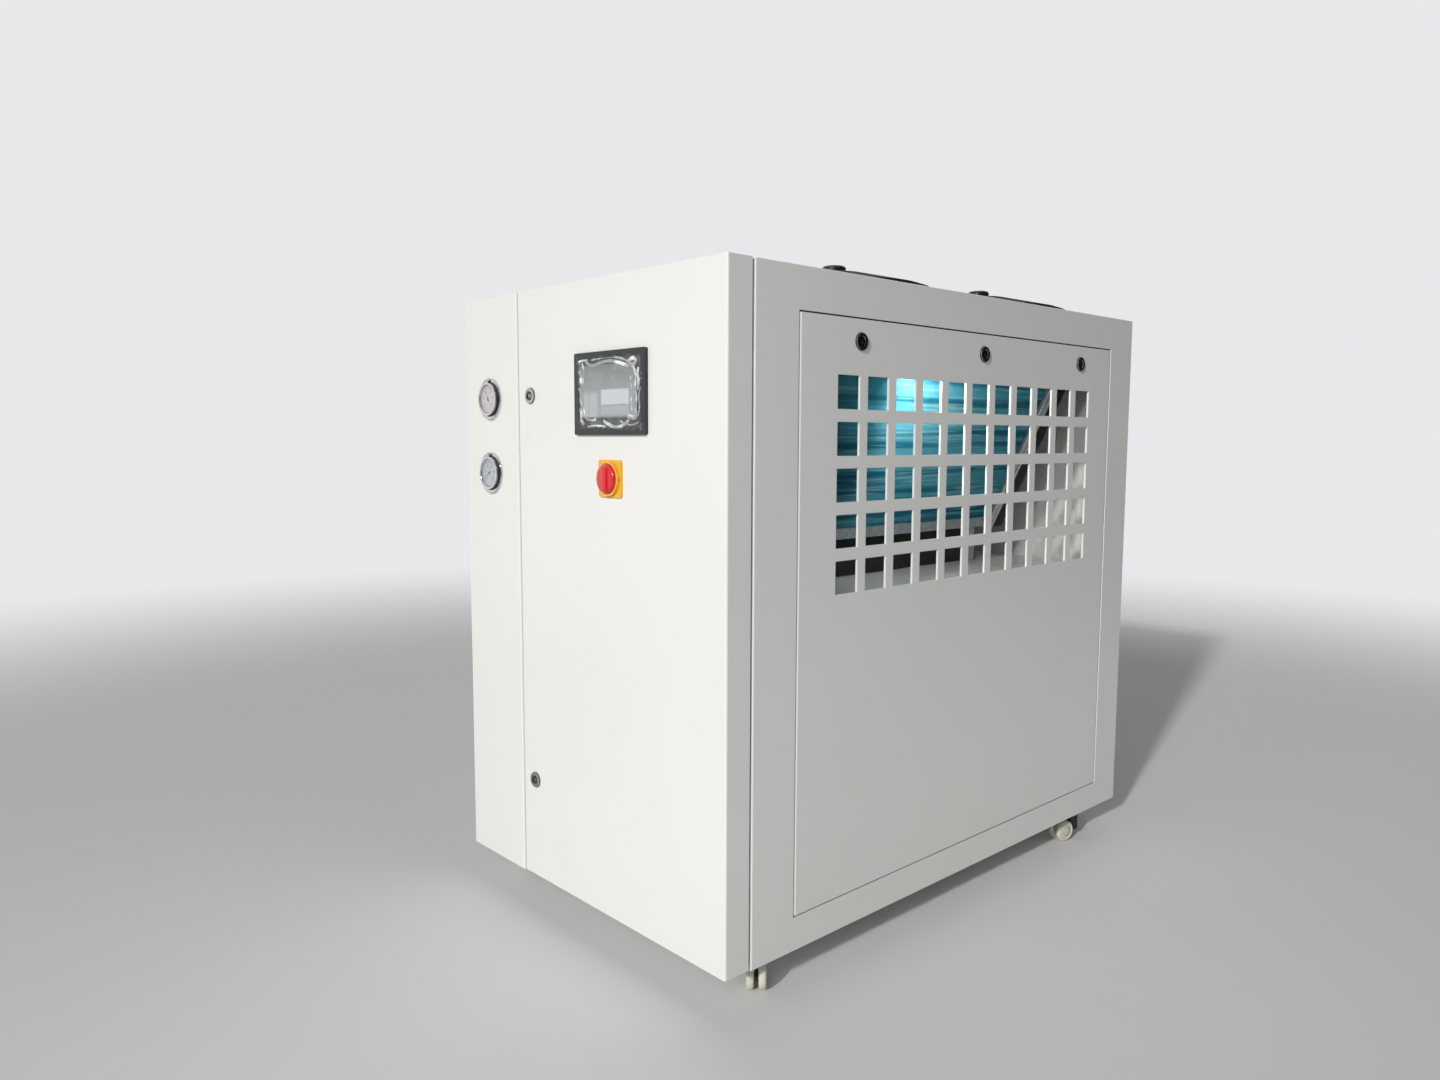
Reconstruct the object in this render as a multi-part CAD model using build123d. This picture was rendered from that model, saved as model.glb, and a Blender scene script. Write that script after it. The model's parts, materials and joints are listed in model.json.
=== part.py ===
"""Air-cooled water chiller in a sheet-metal cabinet on four twin-wheel casters.

Millimetres. X runs across the front, Y from the front to the rear, Z up.
The origin is the centre of the footprint, on the floor.
"""
import os
from math import atan2, cos, hypot, sin

from build123d import *

# Cabinet
cabinet_width = 820.0
cabinet_depth = 1335.0
cabinet_height = 1180.0
ground_clearance = 70.0
frame_sheet = 2.0
panel_sheet = 1.5
floor_sheet = 3.0
roof_sheet = 3.0
corner_radius = 4.0
roof_edge_radius = 2.0
cut_past = 1.0
fit_gap = 0.5

# Front: a fixed strip with the gauges, and a door
front_depth = 54.0
door_gap = 5.0
strip_width = 205.0
door_edge_gap = 3.0

# Posts and rails
post_face = 103.0
post_end = 50.0
bottom_rail = 60.0
top_rail = 73.0
seat_depth = 19.0
seat_lip = 14.0
panel_gap = 3.0

# Side grille
hole_columns = 11
hole_rows = 5
hole_width = 60.0
hole_height = 60.5
column_pitch = 81.2
row_pitch = 81.4
grille_top_row_below_top = 204.0

# Side panel locks
lock_radius = 15.0
lock_rim = 5.0
lock_proud = 4.0
lock_core_sunk = 1.5
lock_hole_radius = 11.0
lock_barrel_depth = 12.0
lock_slot = (10.0, 2.4)
lock_below_top = 115.0
lock_from_panel_ends = (159.0, 144.0)
lock_count = 3

# Inner sheets and coils
bulkhead_from_front = 237.0
deck_below_top = 588.0
deck_fold = 40.0
coil_length = 876.0
coil_thickness = 60.0
coil_foot_from_side = 262.0
coil_foot_above_deck = 89.0
coil_top_from_side = 73.0
coil_top_below_roof = 112.0
coil_margin = 9.0
channel_height = 26.0
header_radius = 14.0
leg_width = 30.0
leg_overlap = 25.0

# Fans
fan_tip_clearance = 7.0
fan_first_from_front = 479.5
fan_pitch = 506.0
throat_sheet = 1.5
throat_flange = 12.0
throat_depth = 72.0
blade_count = 5
blade_thickness = 2.5
blade_root_chord = 86.0
blade_tip_chord = 112.0
blade_root_angle = 40.0
blade_tip_angle = 24.0
blade_root_overlap = 4.0
blade_sweep = 10.0
hub_radius = 52.0
hub_height = 50.0
motor_radius = 44.0
shaft_radius = 8.0
running_clearance = 0.3
motion_clearance = 5.0
guard_side_gap = 11.0
guard_ring_width = 6.0
guard_rib_width = 4.0
guard_rib_count = 8
guard_plate_radius = 54.0
guard_plate_height = 40.0
guard_plate_thickness = 4.0
motor_cap_radius = 24.0
motor_cap_height = 16.0
motor_cap_chamfer = 3.0

# Gauges
gauge_from_left = 101.0
gauges_below_top = (357.5, 205.5)
gauge_flange_radius = 43.5
gauge_case_radius = 34.0
gauge_flange_thickness = 3.0
gauge_bezel_proud = 10.0
gauge_case_depth = 30.0
gauge_rim = 4.0
gauge_recess = 5.0

# Control screen
screen_width = 209.0
screen_height = 148.0
screen_proud = 7.0
screen_centre_from_right = 301.5
screen_centre_below_top = 205.5
screen_border = 12.0
screen_recess = 1.5
screen_body_depth = 34.0
screen_body_margin = 9.0
screen_corner = 4.0

# Isolator
isolator_size = 67.0
isolator_corner = 5.0
isolator_plate = 4.0
isolator_ring_radius = 31.0
isolator_ring_proud = 11.0
isolator_from_right = 303.0
isolator_below_top = 357.5
knob_radius = 26.5
knob_gap = 1.0
knob_proud = 19.0
knob_grip_width = 14.0
knob_scoop = (20.0, 34.0)
knob_scoop_depth = 7.0
knob_shaft_radius = 6.0
knob_shaft_depth = 32.0
knob_hole_gap = 4.0

# Door locks and hinges
door_lock_from_seam = 49.0
door_lock_from_base = 204.0
door_lock_below_top = 203.0
hinge_inset = 6.0
hinge_setback = 7.0
hinge_pin_radius = 2.5
hinge_knuckle_radius = 4.5
hinge_knuckle_height = 30.0
hinge_arm = 4.0
hinge_foot = 10.0
hinge_foot_drop = 12.0
hinge_from_ends = 150.0

# Casters
caster_plate_side = 60.0
caster_plate_thickness = 3.0
caster_front_inset = 60.0
caster_rear_inset = 33.0
caster_front_from_front = 132.0
caster_rear_from_rear = 170.5
wheel_radius = 25.0
wheel_width = 14.0
wheel_spacing = 8.0
wheel_chamfer = 3.0
caster_trail = 20.0
king_pin_radius = 5.0
axle_radius = 4.0
axle_boss_radius = 12.0
swivel_radius = 20.0
swivel_height = 8.0
web_gap = 0.8
web_back = 16.0
hood_back = 18.0
hood_front = 6.0
hood_gap = 1.5
caster_angles = {
    "front_right": -45.0,
    "front_left": -135.0,
    "rear_right": -102.0,
    "rear_left": -78.0,
}

# Rear connections
socket_neck_share = 0.84
socket_tail_share = 0.8
socket_nut_share = 0.45
socket_radius = 24.0
socket_bore_radius = 16.6
socket_length = 30.0
socket_heights_from_base = (190.0, 330.0)
socket_from_side = 150.0
drain_radius = 13.0
drain_bore_radius = 8.6
drain_height_from_base = 90.0
gland_radius = 14.0
gland_bore_radius = 8.0
gland_height_from_base = 440.0

right = cabinet_width / 2
left = -right
rear = cabinet_depth / 2
front = -rear
base_z = ground_clearance
top_z = base_z + cabinet_height
frame_front = front + front_depth + door_gap
roof_z = top_z - roof_sheet
frame_base_z = base_z + floor_sheet
panel_bottom = base_z + bottom_rail
panel_top = top_z - top_rail
panel_front = frame_front + post_face
panel_rear = rear - post_face
seam_x = left + strip_width
up = (0, 0, 1)
fan_x = cabinet_width / 4
guard_radius = fan_x - guard_side_gap
throat_radius = guard_radius - 2 * guard_ring_width
fan_radius = throat_radius - fan_tip_clearance
hub_top = top_z - 2 * motion_clearance
hub_bottom = hub_top - hub_height
hinge_x = right - hinge_inset
hinge_y = front + front_depth - hinge_setback
bulkhead_y = front + bulkhead_from_front
deck_z = top_z - deck_below_top
inner_x = right - seat_depth - frame_sheet
inner_rear = rear - seat_depth - frame_sheet
coil_foot = (right - coil_foot_from_side, deck_z + coil_foot_above_deck)
coil_top = (right - coil_top_from_side, top_z - coil_top_below_roof)
coil_slope = hypot(coil_top[0] - coil_foot[0], coil_top[1] - coil_foot[1])
coil_tilt = atan2(coil_top[1] - coil_foot[1], coil_top[0] - coil_foot[0])
coil_front = bulkhead_y + frame_sheet + coil_margin
coil_rear = coil_front + coil_length
screen_place = (right - screen_centre_from_right, top_z - screen_centre_below_top)
isolator_place = (right - isolator_from_right, top_z - isolator_below_top)


def block(x0, x1, y0, y1, z0, z1):
    """Box between two corners, given in any order."""
    size = (abs(x1 - x0), abs(y1 - y0), abs(z1 - z0))
    return Pos((x0 + x1) / 2, (y0 + y1) / 2, (z0 + z1) / 2) * Box(*size)


def rod(axis, radius, start, length, inner=0.0):
    """Round bar, or tube, that runs from start along an axis vector."""
    plane = Plane(origin=start, z_dir=axis)
    section = Circle(radius)
    if inner:
        section -= Circle(inner)
    return extrude(plane * section, length)


def rectangle(x0, x1, y0, y1):
    """Flat rectangle between two corners."""
    return Pos((x0 + x1) / 2, (y0 + y1) / 2) * Rectangle(abs(x1 - x0), abs(y1 - y0))


def pan(x0, x1, y_face, y_back, z0, z1, sheet):
    """Folded tray with its face at y_face, open at y_back, with round vertical edges."""
    outline = rectangle(x0, x1, y_face, y_back)
    corners = outline.vertices().sort_by(lambda v: abs(v.Y - y_face))[:2]
    outline = fillet(corners, corner_radius)
    solid = Pos(0, 0, z0) * extrude(outline, z1 - z0)
    inner_face = y_face + sheet if y_back > y_face else y_face - sheet
    hollow = block(x0 + sheet, x1 - sheet, inner_face, y_back, z0 + sheet, z1 - sheet)
    return solid - hollow


def make_post(side, end_y, inward):
    """Folded corner post with a seat lip for the side panel."""
    def leg(u0, u1, v0, v1):
        outer = side * right
        return rectangle(outer - side * u0, outer - side * u1,
                         end_y + inward * v0, end_y + inward * v1)

    t = frame_sheet
    profile = leg(0, t, 0, post_face) + leg(0, post_end, 0, t)
    profile += leg(0, seat_depth + t, post_face - t, post_face)
    profile += leg(seat_depth, seat_depth + t, post_face - t, post_face + seat_lip)
    profile += leg(post_end - t, post_end, 0, seat_depth + t)
    if inward < 0:
        profile += leg(post_end - t, post_end + seat_lip, seat_depth, seat_depth + t)
    for inset in (0, t):
        x = side * (right - inset)
        y = end_y + inward * inset
        nearest = profile.vertices().sort_by(lambda v: hypot(v.X - x, v.Y - y))[:1]
        profile = fillet(nearest, corner_radius - inset)
    return Pos(0, 0, frame_base_z) * extrude(profile, roof_z - frame_base_z)


def hinge_places():
    """Lower and upper hinge heights, at the bottom of the knuckle."""
    low = base_z + hinge_from_ends
    high = top_z - hinge_from_ends - hinge_knuckle_height
    return low, high


def make_hinge_arms():
    """Arms and pins that the door's knuckles drop on."""
    arms = None
    root_x = hinge_x - 2 * hinge_knuckle_radius - motion_clearance
    half = hinge_pin_radius
    for z in hinge_places():
        arm_z = z - running_clearance - hinge_arm
        foot = block(root_x - hinge_foot, root_x, hinge_y - half, frame_front,
                     arm_z - hinge_foot_drop, z - running_clearance)
        bar = block(root_x, hinge_x + half, hinge_y - half, hinge_y + half,
                    arm_z, z - running_clearance)
        pin = rod(up, hinge_pin_radius, (hinge_x, hinge_y, arm_z),
                  hinge_arm + hinge_knuckle_height)
        part = foot + bar + pin
        arms = part if arms is None else arms + part
    return arms


def rounded_sheet(z, thickness):
    """Flat sheet over the whole frame, with the posts' corner radius."""
    outline = rectangle(left, right, frame_front, rear)
    outline = fillet(outline.vertices(), corner_radius)
    return Pos(0, 0, z) * extrude(outline, thickness)


def make_base():
    """Base tray with bottom rails between the posts."""
    t = frame_sheet
    base = rounded_sheet(base_z, floor_sheet)
    lip_top = panel_bottom + seat_lip
    for side in (-1, 1):
        outer = side * right
        base += block(outer, outer - side * t, panel_front, panel_rear, base_z, panel_bottom)
        base += block(outer, outer - side * seat_depth, panel_front, panel_rear,
                      panel_bottom - t, panel_bottom)
        base += block(outer - side * seat_depth, outer - side * (seat_depth + t),
                      panel_front + seat_lip, panel_rear - seat_lip, panel_bottom - t, lip_top)
    x = right - post_end
    base += block(-x, x, rear - t, rear, base_z, panel_bottom)
    base += block(-x, x, rear - seat_depth, rear, panel_bottom - t, panel_bottom)
    base += block(-x + seat_lip, x - seat_lip, rear - seat_depth - t, rear - seat_depth,
                  panel_bottom - t, lip_top)
    return base


def make_top_rail(side):
    """Rail over a side panel."""
    t = frame_sheet
    outer = side * right
    rail = block(outer, outer - side * t, panel_front, panel_rear, panel_top, roof_z)
    rail += block(outer, outer - side * seat_depth, panel_front, panel_rear,
                  panel_top, panel_top + t)
    rail += block(outer - side * seat_depth, outer - side * (seat_depth + t),
                  panel_front + seat_lip, panel_rear - seat_lip, panel_top - seat_lip, panel_top + t)
    return rail


def fan_places():
    """Plan positions of the fans by name."""
    first = front + fan_first_from_front
    return {
        "front_left": (-fan_x, first),
        "front_right": (fan_x, first),
        "rear_left": (-fan_x, first + fan_pitch),
        "rear_right": (fan_x, first + fan_pitch),
    }


def make_roof():
    """Roof sheet with the fan holes and a skirt at the front and the rear."""
    t = frame_sheet
    roof = rounded_sheet(roof_z, roof_sheet)
    roof = fillet(roof.faces().sort_by(Axis.Z)[-1].edges(), roof_edge_radius)
    x = right - post_end
    roof += block(-x, x, frame_front, frame_front + t, panel_top, roof_z)
    roof += block(-x, x, rear - t, rear, panel_top, roof_z)
    roof += block(-x, x, rear - seat_depth, rear, panel_top, panel_top + t)
    roof += block(-x + seat_lip, x - seat_lip, rear - seat_depth - t, rear - seat_depth,
                  panel_top - seat_lip, panel_top + t)
    for x, y in fan_places().values():
        roof -= rod(up, throat_radius, (x, y, roof_z), roof_sheet)
    return roof


def make_throats():
    """Flanged throats that hang under the roof's fan holes."""
    throats = []
    bottom = top_z - throat_depth
    for x, y in fan_places().values():
        throat = rod(up, throat_radius + throat_sheet, (x, y, bottom), roof_z - bottom, throat_radius)
        throat += rod(up, throat_radius + throat_flange, (x, y, roof_z - throat_sheet),
                      throat_sheet, throat_radius)
        throats.append(throat)
    return Compound(children=throats)


def make_side_panel(side):
    """Lift-off side panel with a grid of square holes."""
    y0 = panel_front + panel_gap
    y1 = panel_rear - panel_gap
    z0 = panel_bottom + panel_gap
    z1 = panel_top - panel_gap
    outline = rectangle(right, right - seat_depth, y0, y1)
    corners = outline.vertices().sort_by(lambda v: right - v.X)[:2]
    solid = Pos(0, 0, z0) * extrude(fillet(corners, corner_radius), z1 - z0)
    t = panel_sheet
    solid -= block(right - t, right - seat_depth, y0 + t, y1 - t, z0 + t, z1 - t)
    centre_y = (panel_front + panel_rear) / 2
    centre_z = top_z - grille_top_row_below_top - row_pitch * (hole_rows - 1) / 2
    place = Plane(origin=(right, centre_y, centre_z), x_dir=(0, 1, 0), z_dir=(1, 0, 0))
    hole = Box(hole_width, hole_height, 2 * (t + cut_past))
    solid -= place * GridLocations(column_pitch, row_pitch, hole_columns, hole_rows) * hole
    for y, z in side_lock_places():
        solid -= rod((1, 0, 0), lock_hole_radius, (right - t - cut_past, y, z), t + 2 * cut_past)
    return solid if side > 0 else mirror(solid, Plane.YZ)


def side_lock_places():
    """Lock centres on a side panel, along Y and Z."""
    first = panel_front + lock_from_panel_ends[0]
    pitch = (panel_rear - lock_from_panel_ends[1] - first) / (lock_count - 1)
    return [(first + i * pitch, top_z - lock_below_top) for i in range(lock_count)]


def make_lock(axis, centre, sheet):
    """Quarter-turn lock: round flange on the sheet, slotted core and barrel behind it."""
    plane = Plane(origin=centre, z_dir=axis)
    inner = Circle(lock_radius - lock_rim)
    flange = extrude(plane * (Circle(lock_radius) - inner), lock_proud)
    core = extrude(plane * inner, lock_proud - lock_core_sunk)
    barrel = extrude(plane * Circle(lock_hole_radius - running_clearance),
                     -(sheet + lock_barrel_depth))
    slot = extrude(plane * Rectangle(*lock_slot), lock_proud)
    return flange + core + barrel - slot


def make_side_locks():
    """Locks of both side panels."""
    locks = []
    for side in (-1, 1):
        for y, z in side_lock_places():
            locks.append(make_lock((side, 0, 0), (side * right, y, z), panel_sheet))
    return Compound(children=locks)


def make_rear_panel():
    """Plain rear sheet with holes for the connections."""
    x = right - post_end - panel_gap
    panel = pan(-x, x, rear, rear - seat_depth, panel_bottom + panel_gap, panel_top - panel_gap,
                panel_sheet)
    for place, radius in connection_holes():
        start = (place[0], rear - seat_depth, place[1])
        panel -= rod((0, 1, 0), radius, start, seat_depth + cut_past)
    return panel


def connection_holes():
    """Places and radii of the holes in the rear panel."""
    x = left + socket_from_side
    share = socket_tail_share
    holes = [((x, base_z + z), socket_radius * share) for z in socket_heights_from_base]
    holes.append(((x, base_z + drain_height_from_base), drain_radius * share))
    holes.append(((-x, base_z + gland_height_from_base), gland_radius * share))
    return holes


def make_socket(place, radius, bore):
    """Threaded pipe socket on the rear panel: hexagon, round mouth and tail."""
    x, z = place
    plane = Plane(origin=(x, rear, z), z_dir=(0, 1, 0))
    body = extrude(plane * RegularPolygon(radius, 6), socket_length * socket_nut_share)
    body += extrude(plane * Circle(radius * socket_neck_share), socket_length)
    body += extrude(plane * Circle(radius * socket_tail_share - running_clearance), -socket_length)
    return body - rod((0, 1, 0), bore, (x, rear - socket_length, z), 2 * socket_length)


def make_gauge_panel():
    """Fixed front strip, seated on the left post."""
    strip = pan(left, seam_x, front, frame_front, base_z, top_z, panel_sheet)
    for drop in gauges_below_top:
        start = (left + gauge_from_left, front - cut_past, top_z - drop)
        strip -= rod((0, 1, 0), gauge_case_radius + fit_gap, start, panel_sheet + 2 * cut_past)
    return strip


def make_gauge(drop):
    """Dial gauge: flange on the strip, bezel with a recess for the dial, case behind."""
    centre = (left + gauge_from_left, front, top_z - drop)
    plane = Plane(origin=centre, z_dir=(0, -1, 0))
    body = extrude(plane * Circle(gauge_flange_radius), gauge_flange_thickness)
    body += extrude(plane * Circle(gauge_case_radius), gauge_bezel_proud)
    body += extrude(plane * Circle(gauge_case_radius), -gauge_case_depth)
    bezel_top = plane.offset(gauge_bezel_proud)
    return body - extrude(bezel_top * Circle(gauge_case_radius - gauge_rim), -gauge_recess)


def make_door():
    """Door pan with cut-outs and the two hinge knuckles."""
    z0 = base_z + door_edge_gap
    z1 = top_z
    door = pan(seam_x + door_gap, right, front, front + front_depth, z0, z1, panel_sheet)
    sx, sz = screen_place
    half_w = screen_width / 2 - screen_body_margin + fit_gap
    half_h = screen_height / 2 - screen_body_margin + fit_gap
    start = front - cut_past
    through = panel_sheet + 2 * cut_past
    door -= block(sx - half_w, sx + half_w, start, start + through, sz - half_h, sz + half_h)
    door -= rod((0, 1, 0), knob_shaft_radius + knob_hole_gap,
                (isolator_place[0], start, isolator_place[1]), through)
    for x, z in door_lock_places():
        door -= rod((0, 1, 0), lock_hole_radius, (x, start, z), through)
    wall = right - panel_sheet / 2
    for z in hinge_places():
        knuckle = rod(up, hinge_knuckle_radius, (hinge_x, hinge_y, z), hinge_knuckle_height)
        knuckle += block(hinge_x, wall, hinge_y - hinge_knuckle_radius,
                         front + front_depth, z, z + hinge_knuckle_height)
        door += knuckle
        door -= rod(up, hinge_pin_radius + running_clearance,
                    (hinge_x, hinge_y, z - cut_past), hinge_knuckle_height + 2 * cut_past)
    return door


def make_screen():
    """Control screen: bezel on the door's face, recessed glass, body through the cut-out."""
    x, z = screen_place
    plane = Plane(origin=(x, front, z), x_dir=(1, 0, 0), z_dir=(0, -1, 0))
    body = extrude(plane * RectangleRounded(screen_width, screen_height, screen_corner), screen_proud)
    body += extrude(plane * Rectangle(screen_width - 2 * screen_body_margin,
                                      screen_height - 2 * screen_body_margin),
                    -screen_body_depth)
    recess = Rectangle(screen_width - 2 * screen_border, screen_height - 2 * screen_border)
    return body - extrude(plane.offset(screen_proud) * recess, -screen_recess)


def isolator_plane():
    """Plane on the door's face at the isolator, pointing outwards."""
    x, z = isolator_place
    return Plane(origin=(x, front, z), x_dir=(1, 0, 0), z_dir=(0, -1, 0))


def make_isolator_plate():
    """Square plate with the round collar that the knob turns in."""
    plane = isolator_plane()
    outline = RectangleRounded(isolator_size, isolator_size, isolator_corner)
    plate = extrude(plane * outline, isolator_plate)
    plate += extrude(plane * Circle(isolator_ring_radius), isolator_ring_proud)
    well = Circle(knob_radius + knob_gap)
    plate -= extrude(plane.offset(isolator_plate) * well, isolator_ring_proud)
    return plate - extrude(plane * Circle(knob_shaft_radius + running_clearance), isolator_plate)


def make_isolator_knob():
    """Round knob with a grip left between two scooped sides, and its shaft."""
    plane = isolator_plane()
    start = isolator_plate + running_clearance
    knob = extrude(plane.offset(start) * Circle(knob_radius), knob_proud - start)
    shaft = extrude(plane.offset(-knob_shaft_depth) * Circle(knob_shaft_radius),
                    knob_shaft_depth + start)
    shift = (knob_grip_width + knob_scoop[0]) / 2
    for side in (-1, 1):
        scoop = plane.offset(knob_proud) * Pos(side * shift, 0, 0) * Rectangle(*knob_scoop)
        knob -= extrude(scoop, -knob_scoop_depth)
    return knob + shaft


def door_lock_places():
    """Lock centres on the door, along X and Z."""
    x = seam_x + door_lock_from_seam
    return [(x, base_z + door_lock_from_base), (x, top_z - door_lock_below_top)]


def make_door_locks():
    """Locks beside the seam."""
    locks = [make_lock((0, -1, 0), (x, front, z), panel_sheet) for x, z in door_lock_places()]
    return Compound(children=locks)


def make_bulkhead():
    """Full-height sheet between the control bay and the air side."""
    return block(-inner_x, inner_x, bulkhead_y, bulkhead_y + frame_sheet, frame_base_z, roof_z)


def make_deck():
    """Shelf under the coils, folded down along the rear."""
    y0 = bulkhead_y + frame_sheet
    deck = block(-inner_x, inner_x, y0, inner_rear, deck_z - frame_sheet, deck_z)
    return deck + block(-inner_x, inner_x, inner_rear - frame_sheet, inner_rear,
                        deck_z - deck_fold, deck_z)


def coil_plane(y):
    """Plane across the right coil: x up the slope of its outer face, y into the coil."""
    return Plane(origin=(coil_foot[0], y, coil_foot[1]),
                 x_dir=(cos(coil_tilt), 0, sin(coil_tilt)), z_dir=(0, -1, 0))


def coil_slab(y0, y1, low, high, near, deep):
    """Slab along the coil, from low to high up the slope and from near to deep into it."""
    section = Pos((low + high) / 2, (near + deep) / 2) * Rectangle(high - low, deep - near)
    return extrude(coil_plane(y1) * section, y1 - y0)


def make_coil():
    """Fin pack of the right coil."""
    return coil_slab(coil_front, coil_rear, channel_height, coil_slope, 0, coil_thickness)


def make_coil_frame():
    """End plates, foot channel, legs and header of the right coil."""
    t = frame_sheet
    frame = coil_slab(coil_front, coil_rear, 0, channel_height, -t, coil_thickness + t)
    for y0, y1 in ((coil_front - t, coil_front), (coil_rear, coil_rear + t)):
        frame += coil_slab(y0, y1, 0, coil_slope, -coil_margin, coil_thickness + coil_margin)
    leg_x = coil_foot[0] - coil_thickness / 2
    for y in (coil_front - t, coil_rear + t - leg_width):
        frame += block(leg_x - t, leg_x, y, y + leg_width, deck_z, coil_foot[1] + leg_overlap)
    y = coil_rear + t + header_radius
    plane = coil_plane(y)
    start = plane.from_local_coords((channel_height, coil_thickness / 2, 0))
    header = rod(plane.x_dir, header_radius, start, coil_slope - 2 * channel_height)
    return frame + header


def make_guard(x, y):
    """Guard: seat ring, sloping ribs, and the plate that holds the motor and its end cap."""
    ring = rod(up, guard_radius, (x, y, top_z), guard_ring_width, guard_radius - guard_ring_width)
    plate_z = top_z + guard_plate_height
    under_z = plate_z - guard_plate_thickness
    motor_z = top_z - motion_clearance
    cap = rod(up, motor_cap_radius, (0, 0, plate_z), motor_cap_height)
    centre = chamfer(cap.edges().sort_by(Axis.Z)[-1], motor_cap_chamfer)
    centre += rod(up, guard_plate_radius, (0, 0, under_z), guard_plate_thickness)
    centre += rod(up, motor_radius, (0, 0, motor_z), under_z - motor_z)
    centre += rod(up, shaft_radius, (0, 0, hub_bottom + motion_clearance), motor_z - hub_bottom)
    outer_r = guard_radius - guard_ring_width / 2
    outer_z = top_z + guard_ring_width
    inner_r = guard_plate_radius - guard_rib_width
    outline = Polyline((outer_r, outer_z), (inner_r, plate_z), (inner_r, under_z),
                       (outer_r - guard_rib_width, outer_z - guard_rib_width), close=True)
    bar = extrude(Plane.XZ * make_face(outline), guard_rib_width / 2, both=True)
    for i in range(guard_rib_count):
        centre += Rot(0, 0, 360 / guard_rib_count * (i + 0.5)) * bar
    return ring + Pos(x, y, 0) * centre


def make_fan(x, y):
    """Axial rotor: round hub and twisted blades."""
    hub = rod(up, hub_radius, (0, 0, hub_bottom), hub_height)
    hub -= rod(up, shaft_radius + running_clearance,
               (0, 0, hub_bottom + motion_clearance - running_clearance), hub_height)
    sections = []
    middle = hub_bottom + hub_height / 2
    steps = 2
    for i in range(steps + 1):
        share = i / steps
        root = hub_radius - blade_root_overlap
        radius = root + share * (fan_radius - root)
        chord = blade_root_chord + share * (blade_tip_chord - blade_root_chord)
        angle = blade_root_angle + share * (blade_tip_angle - blade_root_angle)
        sweep = blade_sweep * share * share
        plane = Plane(origin=(radius, sweep, middle), x_dir=(0, 1, 0), z_dir=(1, 0, 0))
        if i == steps:
            reach = (fan_radius ** 2 - (chord / 2 + sweep) ** 2) ** 0.5
            plane = Plane(origin=(reach, sweep, middle), x_dir=(0, 1, 0), z_dir=(1, 0, 0))
        sections.append(plane * Rot(0, 0, angle) * Rectangle(chord, blade_thickness))
    blade = loft(sections)
    rotor = hub
    for i in range(blade_count):
        rotor += Rot(0, 0, 360 / blade_count * (i + 0.5)) * blade
    return Pos(x, y, 0) * rotor


def caster_places():
    """Plan positions of the swivel axes by name."""
    x_front = right - caster_front_inset
    x_rear = right - caster_rear_inset
    y_front = front + caster_front_from_front
    y_rear = rear - caster_rear_from_rear
    return {
        "front_left": (-x_front, y_front),
        "front_right": (x_front, y_front),
        "rear_left": (-x_rear, y_rear),
        "rear_right": (x_rear, y_rear),
    }


def make_caster_plates():
    """Base plates and king pins."""
    plates = []
    z = base_z - caster_plate_thickness
    half = caster_plate_side / 2
    for x, y in caster_places().values():
        plate = block(x - half, x + half, y - half, y + half, z, base_z)
        plates.append(plate + rod(up, king_pin_radius, (x, y, z - swivel_height), swivel_height))
    return Compound(children=plates)


def make_caster_housing(x, y, angle):
    """Black housing: swivel disc, web between the wheels and a hood behind them."""
    top = base_z - caster_plate_thickness - running_clearance
    under = top - swivel_height / 2
    disc = rod(up, swivel_radius, (0, 0, top - swivel_height), swivel_height)
    web_half = wheel_spacing / 2 - web_gap
    boss_low = wheel_radius - axle_boss_radius
    housing = disc + rod((0, 1, 0), axle_boss_radius, (caster_trail, -web_half, wheel_radius),
                         2 * web_half)
    housing += block(-web_back, caster_trail, -web_half, web_half, boss_low, under)
    hood_half = wheel_spacing / 2 + wheel_width - web_gap
    hood = block(-hood_back, hood_front, -hood_half, hood_half, wheel_radius - web_gap, under)
    hood -= rod((0, 1, 0), wheel_radius + hood_gap, (caster_trail, -hood_half, wheel_radius),
                2 * hood_half)
    housing += hood
    housing -= rod(up, king_pin_radius + running_clearance, (0, 0, 0), top)
    housing -= rod((0, 1, 0), axle_radius + running_clearance,
                   (caster_trail, -web_half, wheel_radius), 2 * web_half)
    return Pos(x, y, 0) * Rot(0, 0, angle) * housing


def make_caster_wheels(x, y, angle):
    """Two wheels on one axle."""
    half = wheel_spacing / 2 + wheel_width
    wheels = rod((0, 1, 0), axle_radius, (caster_trail, -half, wheel_radius), 2 * half)
    for start in (-half, wheel_spacing / 2):
        wheel = rod((0, 1, 0), wheel_radius, (caster_trail, start, wheel_radius), wheel_width)
        wheels += chamfer(wheel.edges().filter_by(GeomType.CIRCLE), wheel_chamfer)
    return Pos(x, y, 0) * Rot(0, 0, angle) * wheels


def save(name, shape):
    """Write one piece."""
    export_step(shape, f"parts/{name}.step")


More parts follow.
